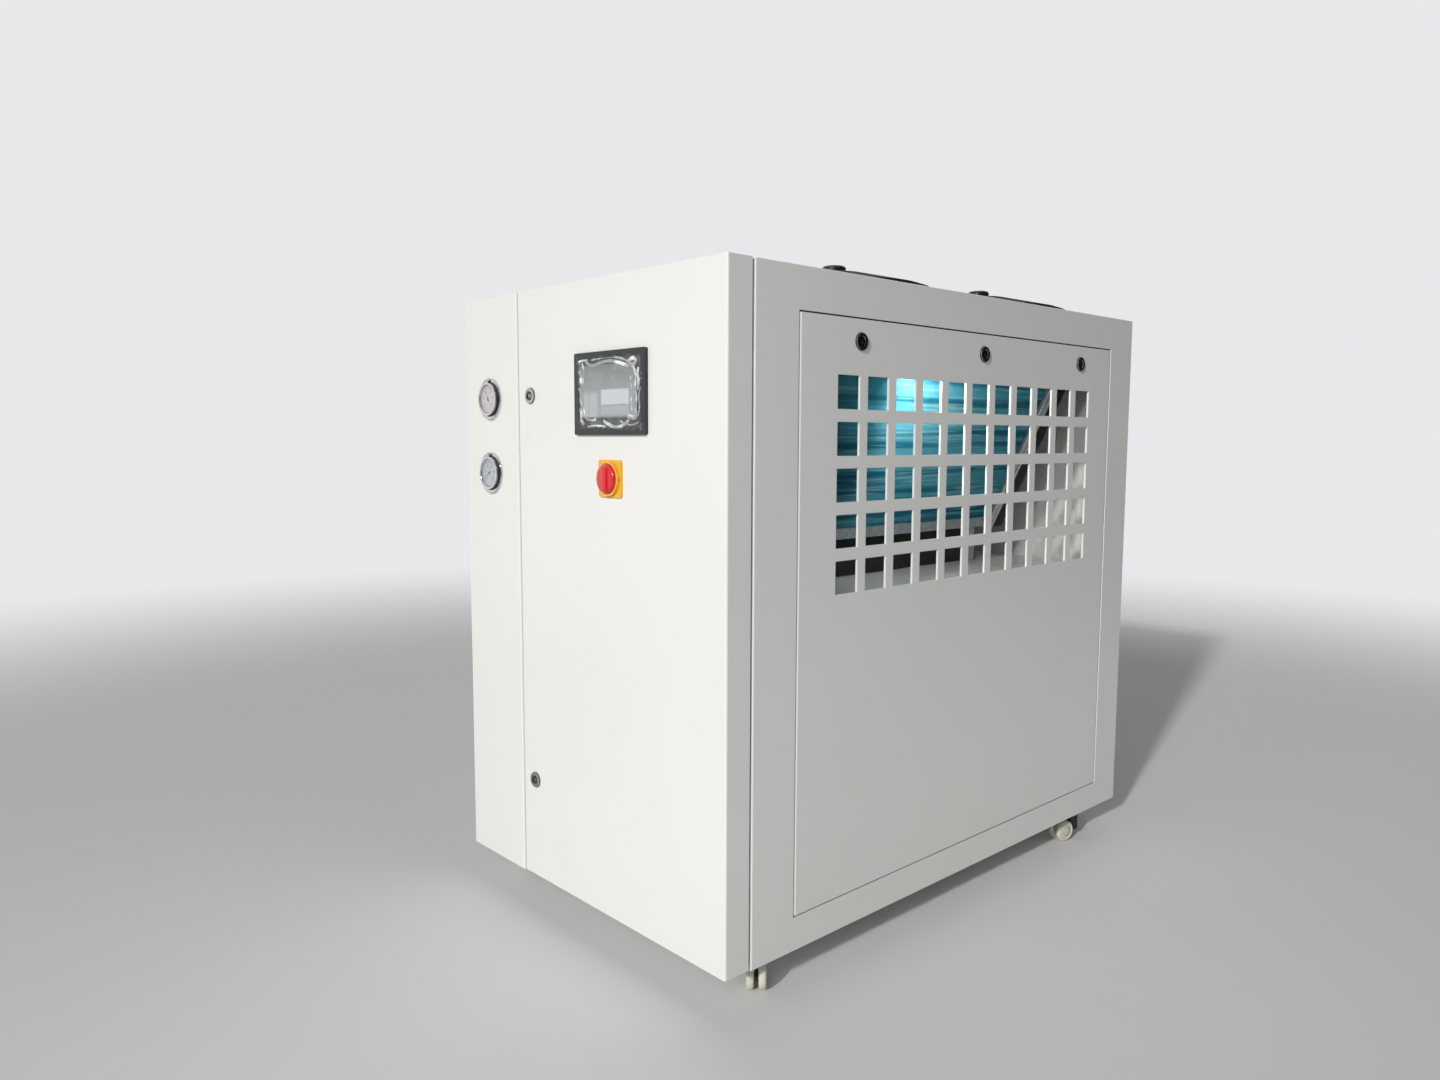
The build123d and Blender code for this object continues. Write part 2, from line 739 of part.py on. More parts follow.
def main():
    """Build and write every piece."""
    os.makedirs("parts", exist_ok=True)
    save("base_frame", make_base())
    save("front_left_post", make_post(-1, frame_front, 1))
    save("front_right_post", make_post(1, frame_front, 1) + make_hinge_arms())
    save("rear_left_post", make_post(-1, rear, -1))
    save("rear_right_post", make_post(1, rear, -1))
    save("top_rail_left", make_top_rail(-1))
    save("top_rail_right", make_top_rail(1))
    save("roof_panel", make_roof())
    save("fan_throats", make_throats())
    save("side_grille_left", make_side_panel(-1))
    save("side_grille_right", make_side_panel(1))
    save("side_panel_locks", make_side_locks())
    save("rear_panel", make_rear_panel())
    save("gauge_panel", make_gauge_panel())
    for name, drop in zip(("gauge_lower", "gauge_upper"), gauges_below_top):
        save(name, make_gauge(drop))
    save("bulkhead", make_bulkhead())
    save("deck", make_deck())
    coil = make_coil()
    save("coil_right", coil)
    save("coil_left", mirror(coil, Plane.YZ))
    coil_frame = make_coil_frame()
    save("coil_frame_right", coil_frame)
    save("coil_frame_left", mirror(coil_frame, Plane.YZ))
    for name, (x, y) in fan_places().items():
        save(f"fan_guard_{name}", make_guard(x, y))
        save(f"fan_{name}", make_fan(x, y))
    socket_x = left + socket_from_side
    for name, height in zip(("water_inlet", "water_outlet"), socket_heights_from_base):
        save(name, make_socket((socket_x, base_z + height), socket_radius, socket_bore_radius))
    save("drain_socket", make_socket((socket_x, base_z + drain_height_from_base),
                                     drain_radius, drain_bore_radius))
    save("cable_gland", make_socket((-socket_x, base_z + gland_height_from_base),
                                    gland_radius, gland_bore_radius))
    save("caster_plates", make_caster_plates())
    for name, (x, y) in caster_places().items():
        save(f"caster_housing_{name}", make_caster_housing(x, y, caster_angles[name]))
        save(f"caster_wheels_{name}", make_caster_wheels(x, y, caster_angles[name]))
    save("front_door", make_door())
    save("control_screen", make_screen())
    save("isolator_plate", make_isolator_plate())
    save("isolator_knob", make_isolator_knob())
    save("door_locks", make_door_locks())


if __name__ == "__main__":
    main()
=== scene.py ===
"""Looks of the air-cooled water chiller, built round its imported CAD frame.

Each sub-assembly is a class with its sizes as fields, and each finish is a small class that makes
one procedural material. Lengths are in metres, in the frame's own axes: X to the right across the
front, Y to the rear, Z up.
"""

import json
import logging
import math
from collections.abc import Callable, Iterable, Sequence
from dataclasses import dataclass, field
from enum import Enum

import bpy
from mathutils import Matrix, Vector

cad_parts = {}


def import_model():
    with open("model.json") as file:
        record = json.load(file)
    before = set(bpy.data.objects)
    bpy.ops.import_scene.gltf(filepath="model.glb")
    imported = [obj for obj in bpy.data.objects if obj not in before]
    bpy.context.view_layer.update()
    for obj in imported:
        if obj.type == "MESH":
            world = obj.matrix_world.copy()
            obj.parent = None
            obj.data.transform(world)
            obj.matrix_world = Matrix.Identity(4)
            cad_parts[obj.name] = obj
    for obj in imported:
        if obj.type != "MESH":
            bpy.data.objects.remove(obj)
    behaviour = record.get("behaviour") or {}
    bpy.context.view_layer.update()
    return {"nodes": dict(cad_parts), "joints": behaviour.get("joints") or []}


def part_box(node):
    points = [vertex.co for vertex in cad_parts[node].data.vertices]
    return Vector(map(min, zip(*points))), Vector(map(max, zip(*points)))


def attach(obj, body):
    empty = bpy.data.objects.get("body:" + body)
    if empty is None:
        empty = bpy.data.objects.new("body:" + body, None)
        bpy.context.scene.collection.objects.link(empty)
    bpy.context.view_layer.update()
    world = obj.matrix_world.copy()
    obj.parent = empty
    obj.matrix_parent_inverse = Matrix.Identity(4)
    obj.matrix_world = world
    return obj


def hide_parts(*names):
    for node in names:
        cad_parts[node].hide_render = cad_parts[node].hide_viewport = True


MM = 0.001
log = logging.getLogger("chiller")


class Axis(Enum):
    """Direction that a round piece points along."""

    X = (0.0, math.pi / 2, 0.0)
    Y = (math.pi / 2, 0.0, 0.0)
    Z = (0.0, 0.0, 0.0)


class Body(Enum):
    """Bodies of the frame that pieces ride on."""

    CABINET = "cabinet"
    DOOR = "door"
    KNOB = "knob"


class Slot(Enum):
    """Material slots of the record."""

    PAINT = "cabinet_paint"
    ZINC = "galvanised_sheet"
    FINS = "coil_fins"
    LOCK = "lock_metal"
    CHROME = "gauge_chrome"
    BEZEL = "screen_bezel"
    YELLOW = "isolator_yellow"
    RED = "isolator_red"
    BRASS = "socket_brass"
    BLACK = "black_plastic"
    GUARD = "guard_black"
    FAN = "fan_black"
    NYLON = "wheel_nylon"


# Shader maths


@dataclass
class Sock:
    """A shader socket that can be used in a Python expression."""

    graph: "Graph"
    link: bpy.types.NodeSocket | None

    def _math(self, operation: str, first: object, second: object = None) -> "Sock":
        """Add one Math node.

        Args:
            operation: the node's operation.
            first: first value, a socket or a number.
            second: second value, where the operation has one.

        Returns:
            The node's result.
        """
        values = {0: first} if second is None else {0: first, 1: second}
        return self.graph.node("ShaderNodeMath", values, operation=operation)

    def __add__(self, other: object) -> "Sock":
        """Sum of two values."""
        return self._math("ADD", self, other)

    __radd__ = __add__

    def __sub__(self, other: object) -> "Sock":
        """Difference of two values."""
        return self._math("SUBTRACT", self, other)

    def __rsub__(self, other: object) -> "Sock":
        """Difference with the socket on the right."""
        return self._math("SUBTRACT", other, self)

    def __mul__(self, other: object) -> "Sock":
        """Product of two values."""
        return self._math("MULTIPLY", self, other)

    __rmul__ = __mul__

    def __truediv__(self, other: object) -> "Sock":
        """Quotient of two values."""
        return self._math("DIVIDE", self, other)

    def __pow__(self, other: object) -> "Sock":
        """Power of a value."""
        return self._math("POWER", self, other)

    def __gt__(self, other: object) -> "Sock":
        """One where the socket is greater, zero elsewhere."""
        return self._math("GREATER_THAN", self, other)

    def __lt__(self, other: object) -> "Sock":
        """One where the socket is less, zero elsewhere."""
        return self._math("LESS_THAN", self, other)

    def sine(self) -> "Sock":
        """Sine of an angle in radians."""
        return self._math("SINE", self)

    def size(self) -> "Sock":
        """Absolute value."""
        return self._math("ABSOLUTE", self)

    def part(self) -> "Sock":
        """Fractional part."""
        return self._math("FRACT", self)

    def ramp(self, low: float, high: float) -> "Sock":
        """Smooth step from low to high.

        Args:
            low: value that gives zero.
            high: value that gives one.

        Returns:
            A value from zero to one.
        """
        values = {"Value": self, "From Min": low, "From Max": high}
        return self.graph.node("ShaderNodeMapRange", values, interpolation_type="SMOOTHSTEP")


class Graph:
    """A node tree that Python expressions build."""

    def __init__(self, tree: bpy.types.NodeTree) -> None:
        """Take the tree.

        Args:
            tree: tree of a material or a world.
        """
        self.tree = tree

    def node(self, kind: str, values: dict, output: int | str | None = 0, **settings: object) -> Sock:
        """Add any node.

        Args:
            kind: the node's type.
            values: socket name or number to value, colour or link.
            output: which output to return, None for a node without one.
            settings: properties that are set before the sockets.

        Returns:
            The chosen output.
        """
        made = self.tree.nodes.new(kind)
        for key, value in settings.items():
            setattr(made, key, value)
        for key, value in values.items():
            self.put(made.inputs[key], value)
        return Sock(self, made.outputs[output]) if output is not None else Sock(self, None)

    def put(self, socket: bpy.types.NodeSocket, value: object) -> None:
        """Link a value to a socket, or set it there.

        Args:
            socket: the input.
            value: a Sock, number or tuple.
        """
        if isinstance(value, Sock):
            self.tree.links.new(value.link, socket)
            return
        if isinstance(value, (tuple, list)) and len(value) == 3 and socket.type == "RGBA":
            value = (*value, 1.0)
        socket.default_value = value

    def place(self, scale: Sequence[float] = (1.0, 1.0, 1.0), turn: Sequence[float] = (0.0, 0.0, 0.0)) -> Sock:
        """Object coordinates, scaled and turned.

        Args:
            scale: factor along each axis.
            turn: rotation in radians.

        Returns:
            The coordinates.
        """
        coords = self.node("ShaderNodeTexCoord", {}, "Object")
        return self.node("ShaderNodeMapping", {"Vector": coords, "Scale": tuple(scale), "Rotation": tuple(turn)})

    def along(self, index: int) -> Sock:
        """One of the object coordinates.

        Args:
            index: 0, 1 or 2 for X, Y or Z.

        Returns:
            That coordinate in metres.
        """
        coords = self.node("ShaderNodeTexCoord", {}, "Object")
        return self.node("ShaderNodeSeparateXYZ", {0: coords}, index)

    def noise(self, scale: float, detail: float = 3.0, at: Sock | None = None, rough: float = 0.5) -> Sock:
        """Noise pattern.

        Args:
            scale: size of the pattern, per metre.
            detail: octaves.
            at: coordinates, object coordinates where left out.
            rough: strength of the fine octaves.

        Returns:
            The pattern's value.
        """
        values = {"Vector": at or self.place(), "Scale": scale, "Detail": detail, "Roughness": rough}
        return self.node("ShaderNodeTexNoise", values)

    def blend(self, share: object, first: object, second: object) -> Sock:
        """Mix of two colours.

        Args:
            share: how much of the second.
            first: a colour.
            second: another colour.

        Returns:
            The mixed colour.
        """
        made = self.tree.nodes.new("ShaderNodeMix")
        made.data_type = "RGBA"
        for index, value in ((0, share), (6, first), (7, second)):
            self.put(made.inputs[index], value)
        return Sock(self, made.outputs[2])

    def bump(self, height: Sock, depth: float, strength: float = 1.0) -> Sock:
        """Bump from a height.

        Args:
            height: pattern.
            depth: metres that a height of one stands.
            strength: share of the effect.

        Returns:
            The bent normal.
        """
        return self.node("ShaderNodeBump", {"Height": height, "Distance": depth, "Strength": strength})


class Surface(Graph):
    """A material's node tree, with one Principled shader."""

    def __init__(self, name: str) -> None:
        """Make the material.

        Args:
            name: the material's name.
        """
        self.material = bpy.data.materials.new(name)
        self.material.use_nodes = True
        super().__init__(self.material.node_tree)
        self.shader = self.tree.nodes["Principled BSDF"]

    def finish(self, **sockets: object) -> bpy.types.Material:
        """Set the shader's sockets.

        Args:
            sockets: socket name, with spaces as underscores, to value.

        Returns:
            The material.
        """
        for key, value in sockets.items():
            self.put(self.shader.inputs[key.replace("_", " ")], value)
        return self.material


# Finishes


@dataclass(frozen=True)
class PowderCoat:
    """Powder coat on sheet metal: fine orange peel, faint handling marks, and slightly darker towards the bottom."""

    name: str = "cabinet_powder_coat"
    colour: tuple[float, float, float] = (0.80, 0.80, 0.775)
    roughness: float = 0.38
    peel: float = 0.00005

    def make(self) -> bpy.types.Material:
        """Make the material."""
        g = Surface(self.name)
        cloud = g.noise(3.2, 4.0)
        marks = g.noise(38.0, 6.0, g.place((1.0, 1.0, 0.25)), 0.65).ramp(0.62, 0.80)
        # Slightly darker below 0.30 m, most at the bottom.
        low = g.along(2).ramp(0.30, 0.06)
        tone = g.blend(cloud.ramp(0.3, 0.75) * 0.35, self.colour, tuple(c * 0.955 for c in self.colour))
        tone = g.blend(marks * 0.10 + low * 0.08, tone, (0.52, 0.51, 0.48))
        skin = g.noise(520.0, 2.0)
        rough = marks * 0.10 + cloud * 0.08 + (self.roughness - 0.05)
        return g.finish(Base_Color=tone, Roughness=rough, Normal=g.bump(skin, self.peel, 0.5),
                        Coat_Weight=cloud * 0.10 + 0.12, Coat_Roughness=0.22)


@dataclass(frozen=True)
class ZincSheet:
    """Galvanised sheet with spangle."""

    name: str = "zinc_spangle"
    colour: tuple[float, float, float] = (0.46, 0.50, 0.53)
    metal: float = 0.6

    def make(self) -> bpy.types.Material:
        """Make the material."""
        g = Surface(self.name)
        cells = g.node("ShaderNodeTexVoronoi", {"Vector": g.place(), "Scale": 85.0}, "Color")
        tone = g.node("ShaderNodeSeparateColor", {0: cells})
        cloud = g.noise(9.0, 5.0)
        share = tone * 0.55 + cloud * 0.45
        colour = g.blend(share, tuple(c * 0.72 for c in self.colour), tuple(min(1.0, c * 1.30) for c in self.colour))
        return g.finish(Base_Color=colour, Metallic=self.metal, Roughness=tone * 0.16 + 0.36,
                        Normal=g.bump(tone, 0.00004, 0.5))


@dataclass(frozen=True)
class CoatedFins:
    """Hydrophilic coating on aluminium fins, with painted shade and painted highlight lines along the coil for the
    light on the pressed fin ripples.
    """

    name: str = "coated_fins"
    colour: tuple[float, float, float] = (0.14, 0.55, 0.66)
    # shade and light are the painted shade and painted highlight of the fin ripples; shade also tints random cloudy
    # patches.
    shade: tuple[float, float, float] = (0.02, 0.24, 0.36)
    light: tuple[float, float, float] = (0.42, 0.80, 0.86)

    def make(self) -> bpy.types.Material:
        """Make the material."""
        g = Surface(self.name)
        cloud = g.noise(9.0, 4.0, g.place((1.0, 0.3, 2.0)))
        # Darker strokes and pale lines that run along the coil: painted shade and painted highlight on the fin
        # ripples.
        band = g.noise(52.0, 2.0, g.place((1.0, 0.02, 1.0)), 0.4)
        line = g.noise(170.0, 2.0, g.place((1.0, 0.03, 1.0)))
        colour = g.blend(band.ramp(0.44, 0.62), self.colour, self.shade)
        colour = g.blend(line.ramp(0.52, 0.68) * 0.7, colour, self.light)
        colour = g.blend(cloud.ramp(0.45, 0.8) * 0.25, colour, self.shade)
        return g.finish(Base_Color=colour, Metallic=0.05, Roughness=cloud * 0.15 + 0.34)


@dataclass(frozen=True)
class BrightMetal:
    """Plated or machined metal."""

    name: str
    colour: tuple[float, float, float]
    roughness: float = 0.12
    grain: float = 140.0

    def make(self) -> bpy.types.Material:
        """Make the material."""
        g = Surface(self.name)
        wear = g.noise(self.grain, 5.0)
        fine = g.noise(self.grain * 7.0, 2.0)
        colour = g.blend(wear.ramp(0.45, 0.8) * 0.35, self.colour, tuple(c * 0.62 for c in self.colour))
        return g.finish(Base_Color=colour, Metallic=1.0, Roughness=wear * 0.14 + self.roughness,
                        Normal=g.bump(fine, 0.00002, 0.4))


@dataclass(frozen=True)
class MouldedPlastic:
    """Moulded or painted plastic with a fine texture and rubbed places."""

    name: str
    colour: tuple[float, float, float]
    roughness: float = 0.42
    grain: float = 900.0
    worn: tuple[float, float, float] | None = None
    coat: float = 0.0

    def make(self) -> bpy.types.Material:
        """Make the material."""
        g = Surface(self.name)
        cloud = g.noise(22.0, 5.0)
        fine = g.noise(self.grain, 2.0)
        other = self.worn or tuple(min(1.0, c * 1.25 + 0.01) for c in self.colour)
        colour = g.blend(cloud.ramp(0.48, 0.8) * 0.5, self.colour, other)
        return g.finish(Base_Color=colour, Roughness=cloud * 0.16 + (self.roughness - 0.06),
                        Normal=g.bump(fine, 0.00005, 0.5), Coat_Weight=cloud * 0.02 + self.coat)


@dataclass(frozen=True)
class ClearGlass:
    """Clear cover over a dial."""

    name: str = "dial_cover"
    alpha: float = 0.12

    def make(self) -> bpy.types.Material:
        """Make the material."""
        g = Surface(self.name)
        smear = g.noise(60.0, 4.0)
        material = g.finish(Base_Color=g.blend(smear, (0.75, 0.80, 0.82), (0.85, 0.88, 0.88)),
                            Roughness=smear * 0.10 + 0.02, Alpha=smear * 0.08 + self.alpha)
        material.surface_render_method = "BLENDED"
        return material


@dataclass(frozen=True)
class ClearFilm:
    """Clear protective film: hazy where it is loose, with painted glints along its creases."""

    name: str
    haze: float
    colour: tuple[float, float, float]

    def make(self) -> bpy.types.Material:
        """Make the material."""
        g = Surface(self.name)
        crease = g.noise(34.0, 3.0, g.place((1.0, 1.0, 1.3)), 0.5)
        glint = crease.ramp(0.44, 0.62)
        # Painted glints: lighter and more opaque where the creases are.
        tone = g.blend(glint, tuple(c * 0.6 for c in self.colour), self.colour)
        material = g.finish(Base_Color=tone, Roughness=glint * 0.10 + 0.12,
                            Alpha=glint * self.haze * 0.4 + self.haze * 0.6,
                            Normal=g.bump(crease, 0.004, 0.5))
        material.surface_render_method = "BLENDED"
        return material


@dataclass(frozen=True)
class DisplayGlass:
    """Display that is switched off, with a painted reflection of a bright room and painted shade along its bottom
    edge.
    """

    name: str = "display_glass"
    low: tuple[float, float] = (0.0225, 1.000)
    high: tuple[float, float] = (0.1845, 1.095)

    def make(self) -> bpy.types.Material:
        """Make the material."""
        g = Surface(self.name)
        across, height = g.along(0), g.along(2)
        u = (across - self.low[0]) / (self.high[0] - self.low[0])
        v = (height - self.low[1]) / (self.high[1] - self.low[1])
        haze = g.noise(42.0, 1.0, g.place((1.0, 1.0, 0.10)))
        edge = 0.025
        # Painted reflection: a pale box right of the middle, a lighter band under it, pale streaks at the lower
        # left, and a base that grows darker towards the top.
        box = u.ramp(0.38, 0.38 + edge) * (1.0 - u.ramp(0.88, 0.88 + edge))
        shine = box * v.ramp(0.24, 0.24 + edge) * (1.0 - v.ramp(0.52, 0.52 + edge))
        below = box * (1.0 - v.ramp(0.22, 0.24)) * v.ramp(0.02, 0.10)
        reflection_streak = haze.ramp(0.46, 0.60) * (1.0 - v.ramp(0.42, 0.56)) * (1.0 - u.ramp(0.30, 0.38))
        base = g.blend(v.ramp(1.05, 0.40), (0.22, 0.245, 0.25), (0.37, 0.39, 0.40))
        colour = g.blend(reflection_streak * 0.6, base, (0.66, 0.69, 0.70))
        colour = g.blend(below * 0.5, colour, (0.58, 0.61, 0.63))
        colour = g.blend(shine, colour, (0.70, 0.75, 0.79))
        # Painted shade along the bottom edge.
        colour = g.blend(v.ramp(0.05, 0.0), colour, (0.10, 0.12, 0.13))
        return g.finish(Base_Color=colour, Roughness=haze * 0.10 + 0.16, Coat_Weight=haze * 0.1 + 0.1,
                        Coat_Roughness=0.08)


@dataclass(frozen=True)
class DialCard:
    """Printed dial card with faint ageing."""

    name: str
    colour: tuple[float, float, float]

    def make(self) -> bpy.types.Material:
        """Make the material."""
        g = Surface(self.name)
        cloud = g.noise(45.0, 4.0)
        colour = g.blend(cloud.ramp(0.35, 0.75) * 0.6, self.colour, tuple(c * 0.8 for c in self.colour))
        return g.finish(Base_Color=colour, Roughness=cloud * 0.1 + 0.5)


@dataclass(frozen=True)
class StudioFloor:
    """Pale floor round the object, which thins out to the pale background."""

    name: str = "studio_floor"
    near: float = 2.4
    far: float = 6.0

    def make(self) -> bpy.types.Material:
        """Make the material."""
        g = Surface(self.name)
        cloud = g.noise(1.5, 2.0)
        x, y = g.along(0), g.along(1)
        away = (x * x + y * y) ** 0.5
        return g.finish(Base_Color=g.blend(cloud, (0.72, 0.72, 0.725), (0.75, 0.75, 0.755)),
                        Roughness=cloud * 0.1 + 0.6, Alpha=away.ramp(self.far, self.near))


@dataclass
class Palette:
    """Every finish, made once."""

    paint: bpy.types.Material = field(default_factory=lambda: PowderCoat().make())
    zinc: bpy.types.Material = field(default_factory=lambda: ZincSheet().make())
    # Paler copy of the zinc finish, worn by the coil end flanges: painted highlight.
    bright: bpy.types.Material = field(
        default_factory=lambda: ZincSheet("zinc_painted_highlight", (0.72, 0.74, 0.72), 0.2).make())
    fins: bpy.types.Material = field(default_factory=lambda: CoatedFins().make())
    chrome: bpy.types.Material = field(
        default_factory=lambda: BrightMetal("bright_chrome", (0.62, 0.63, 0.65), 0.04).make())
    lock: bpy.types.Material = field(
        default_factory=lambda: BrightMetal("lock_chrome", (0.46, 0.46, 0.46), 0.10).make())
    core: bpy.types.Material = field(
        default_factory=lambda: BrightMetal("lock_core", (0.045, 0.045, 0.045), 0.30).make())
    copper: bpy.types.Material = field(
        default_factory=lambda: BrightMetal("copper_tube", (0.62, 0.30, 0.18), 0.30, 60.0).make())
    brass: bpy.types.Material = field(
        default_factory=lambda: BrightMetal("machined_brass", (0.62, 0.46, 0.20), 0.24).make())
    steel: bpy.types.Material = field(
        default_factory=lambda: BrightMetal("plated_steel", (0.52, 0.53, 0.54), 0.24).make())
    bezel: bpy.types.Material = field(
        default_factory=lambda: MouldedPlastic("bezel_plastic", (0.016, 0.018, 0.023), 0.26).make())
    yellow: bpy.types.Material = field(
        default_factory=lambda: MouldedPlastic("isolator_yellow_plastic", (0.80, 0.42, 0.03), 0.34,
                                               worn=(0.86, 0.52, 0.08), coat=0.2).make())
    red: bpy.types.Material = field(
        default_factory=lambda: MouldedPlastic("isolator_red_plastic", (0.66, 0.010, 0.016), 0.26,
                                               worn=(0.58, 0.01, 0.014), coat=0.4).make())
    orange: bpy.types.Material = field(
        default_factory=lambda: MouldedPlastic("isolator_collar_plastic", (0.82, 0.30, 0.04), 0.30,
                                               worn=(0.86, 0.42, 0.10), coat=0.2).make())
    black: bpy.types.Material = field(
        default_factory=lambda: MouldedPlastic("black_moulding", (0.012, 0.012, 0.014), 0.46).make())
    guard: bpy.types.Material = field(
        default_factory=lambda: MouldedPlastic("guard_black_coat", (0.012, 0.012, 0.013), 0.36, 600.0).make())
    blade: bpy.types.Material = field(
        default_factory=lambda: MouldedPlastic("blade_black", (0.016, 0.016, 0.018), 0.5, 420.0,
                                               worn=(0.04, 0.04, 0.042)).make())
    nylon: bpy.types.Material = field(
        default_factory=lambda: MouldedPlastic("wheel_cream_nylon", (0.62, 0.61, 0.50), 0.34, 300.0,
                                               worn=(0.44, 0.43, 0.36)).make())
    glass: bpy.types.Material = field(default_factory=lambda: ClearGlass().make())
    film: bpy.types.Material = field(
        default_factory=lambda: ClearFilm("screen_film", 0.16, (0.50, 0.54, 0.56)).make())
    # Near-white, nearly opaque film finish for the raised folds: painted glints.
    fold: bpy.types.Material = field(
        default_factory=lambda: ClearFilm("screen_film_fold_glint", 0.95, (0.90, 0.92, 0.93)).make())
    display: bpy.types.Material = field(default_factory=lambda: DisplayGlass().make())
    dial_warm: bpy.types.Material = field(
        default_factory=lambda: DialCard("dial_card_warm", (0.66, 0.57, 0.58)).make())
    dial_cool: bpy.types.Material = field(
        default_factory=lambda: DialCard("dial_card_cool", (0.42, 0.48, 0.54)).make())
    ink: bpy.types.Material = field(
        default_factory=lambda: MouldedPlastic("dial_ink", (0.02, 0.02, 0.022), 0.6).make())
    # Black foam, worn by the door seal and by the black strips of painted shade by the side panels, the coil ends
    # and the coil feet.
    foam: bpy.types.Material = field(
        default_factory=lambda: MouldedPlastic("seal_foam_and_shade", (0.03, 0.03, 0.03), 0.8, 260.0).make())


# Modelling


class Bench:
    """Modelling steps, each through Blender's own operators."""

    @staticmethod
    def clear() -> None:
        """Deselect everything."""
        if bpy.context.mode != "OBJECT":
            bpy.ops.object.mode_set(mode="OBJECT")
        bpy.ops.object.select_all(action="DESELECT")

    @staticmethod
    def pick(*pieces: bpy.types.Object) -> bpy.types.Object:
        """Select pieces, the first as the active one.

        Args:
            pieces: objects to select.

        Returns:
            The active object.
        """
        Bench.clear()
        for piece in pieces:
            piece.select_set(True)
        bpy.context.view_layer.objects.active = pieces[0]
        return pieces[0]

    @staticmethod
    def settle(name: str) -> bpy.types.Object:
        """Name the active object and put its place into its mesh.

        Args:
            name: the new name.

        Returns:
            The object, at the origin.
        """
        made = bpy.context.active_object
        bpy.ops.object.transform_apply(location=True, rotation=True, scale=True)
        made.name = name
        made.data.name = name
        return made

    @staticmethod
    def block(name: str, low: Sequence[float], high: Sequence[float]) -> bpy.types.Object:
        """Box between two corners.

        Args:
            name: the piece's name.
            low: lowest corner.
            high: highest corner.

        Returns:
            The box.
        """
        Bench.clear()
        centre = [(a + b) / 2 for a, b in zip(low, high)]
        bpy.ops.mesh.primitive_cube_add(size=1.0, location=centre)
        bpy.context.active_object.scale = [b - a for a, b in zip(low, high)]
        return Bench.settle(name)

    @staticmethod
    def disc(name: str, centre: Sequence[float], radius: float, depth: float, axis: Axis,
             sides: int = 48) -> bpy.types.Object:
        """Round bar centred at a point.

        Args:
            name: the piece's name.
            centre: its middle.
            radius: its radius.
            depth: its length.
            axis: the way it points.
            sides: number of sides.

        Returns:
            The bar.
        """
        Bench.clear()
        bpy.ops.mesh.primitive_cylinder_add(vertices=sides, radius=radius, depth=depth,
                                            location=centre, rotation=axis.value)
        return Bench.settle(name)

    @staticmethod
    def hoop(name: str, centre: Sequence[float], radius: float, wire: float, axis: Axis,
             sides: int = 72, round_sides: int = 8) -> bpy.types.Object:
        """Ring of round wire.

        Args:
            name: the piece's name.
            centre: its middle.
            radius: radius of the wire's centre line.
            wire: radius of the wire.
            axis: the ring's axis.
            sides: steps round the ring.
            round_sides: sides of the wire.

        Returns:
            The ring.
        """
        Bench.clear()
        bpy.ops.mesh.primitive_torus_add(location=centre, rotation=axis.value, major_radius=radius,
                                         minor_radius=wire, major_segments=sides,
                                         minor_segments=round_sides)
        return Bench.settle(name)

    @staticmethod
    def faces(piece: bpy.types.Object, test: Callable[[bpy.types.MeshPolygon], bool]) -> None:
        """Select the faces that pass a test, and go into edit mode.

        Args:
            piece: the object.
            test: says whether a face is wanted.
        """
        Bench.pick(piece)
        bpy.ops.object.mode_set(mode="EDIT")
        bpy.ops.mesh.select_mode(type="FACE")
        bpy.ops.mesh.select_all(action="DESELECT")
        bpy.ops.object.mode_set(mode="OBJECT")
        for polygon in piece.data.polygons:
            polygon.select = test(polygon)
        bpy.ops.object.mode_set(mode="EDIT")

    @staticmethod
    def done() -> None:
        """Leave edit mode."""
        bpy.ops.object.mode_set(mode="OBJECT")

    @staticmethod
    def facing(direction: Sequence[float]) -> Callable[[bpy.types.MeshPolygon], bool]:
        """Test for faces that look one way.

        Args:
            direction: unit vector.

        Returns:
            The test.
        """
        wanted = Vector(direction)
        return lambda polygon: polygon.normal.dot(wanted) > 0.9

    @staticmethod
    def inset(piece: bpy.types.Object, direction: Sequence[float], width: float, depth: float) -> None:
        """Inset the faces that look one way.

        Args:
            piece: the object.
            direction: the way they look.
            width: width of the border.
            depth: how far the middle moves outwards.
        """
        Bench.faces(piece, Bench.facing(direction))
        bpy.ops.mesh.inset(thickness=width, depth=depth)
        Bench.done()

    @staticmethod
    def soften(piece: bpy.types.Object, width: float, steps: int = 2, angle: float = 32.0) -> bpy.types.Object:
        """Round the sharp edges and shade them smooth.

        Args:
            piece: the object.
            width: width of the bevel.
            steps: its segments.
            angle: edges sharper than this, in degrees, are rounded.

        Returns:
            The same object.
        """
        Bench.pick(piece)
        bevel = piece.modifiers.new("edge", "BEVEL")
        bevel.width = width
        bevel.segments = steps
        bevel.limit_method = "ANGLE"
        bevel.angle_limit = math.radians(angle)
        bpy.ops.object.modifier_apply(modifier=bevel.name)
        return Bench.smooth(piece)

    @staticmethod
    def smooth(piece: bpy.types.Object, angle: float = 35.0) -> bpy.types.Object:
        """Shade smooth below an angle.

        Args:
            piece: the object.
            angle: limit in degrees.

        Returns:
            The same object.
        """
        Bench.pick(piece)
        bpy.ops.object.shade_smooth_by_angle(angle=math.radians(angle))
        return piece

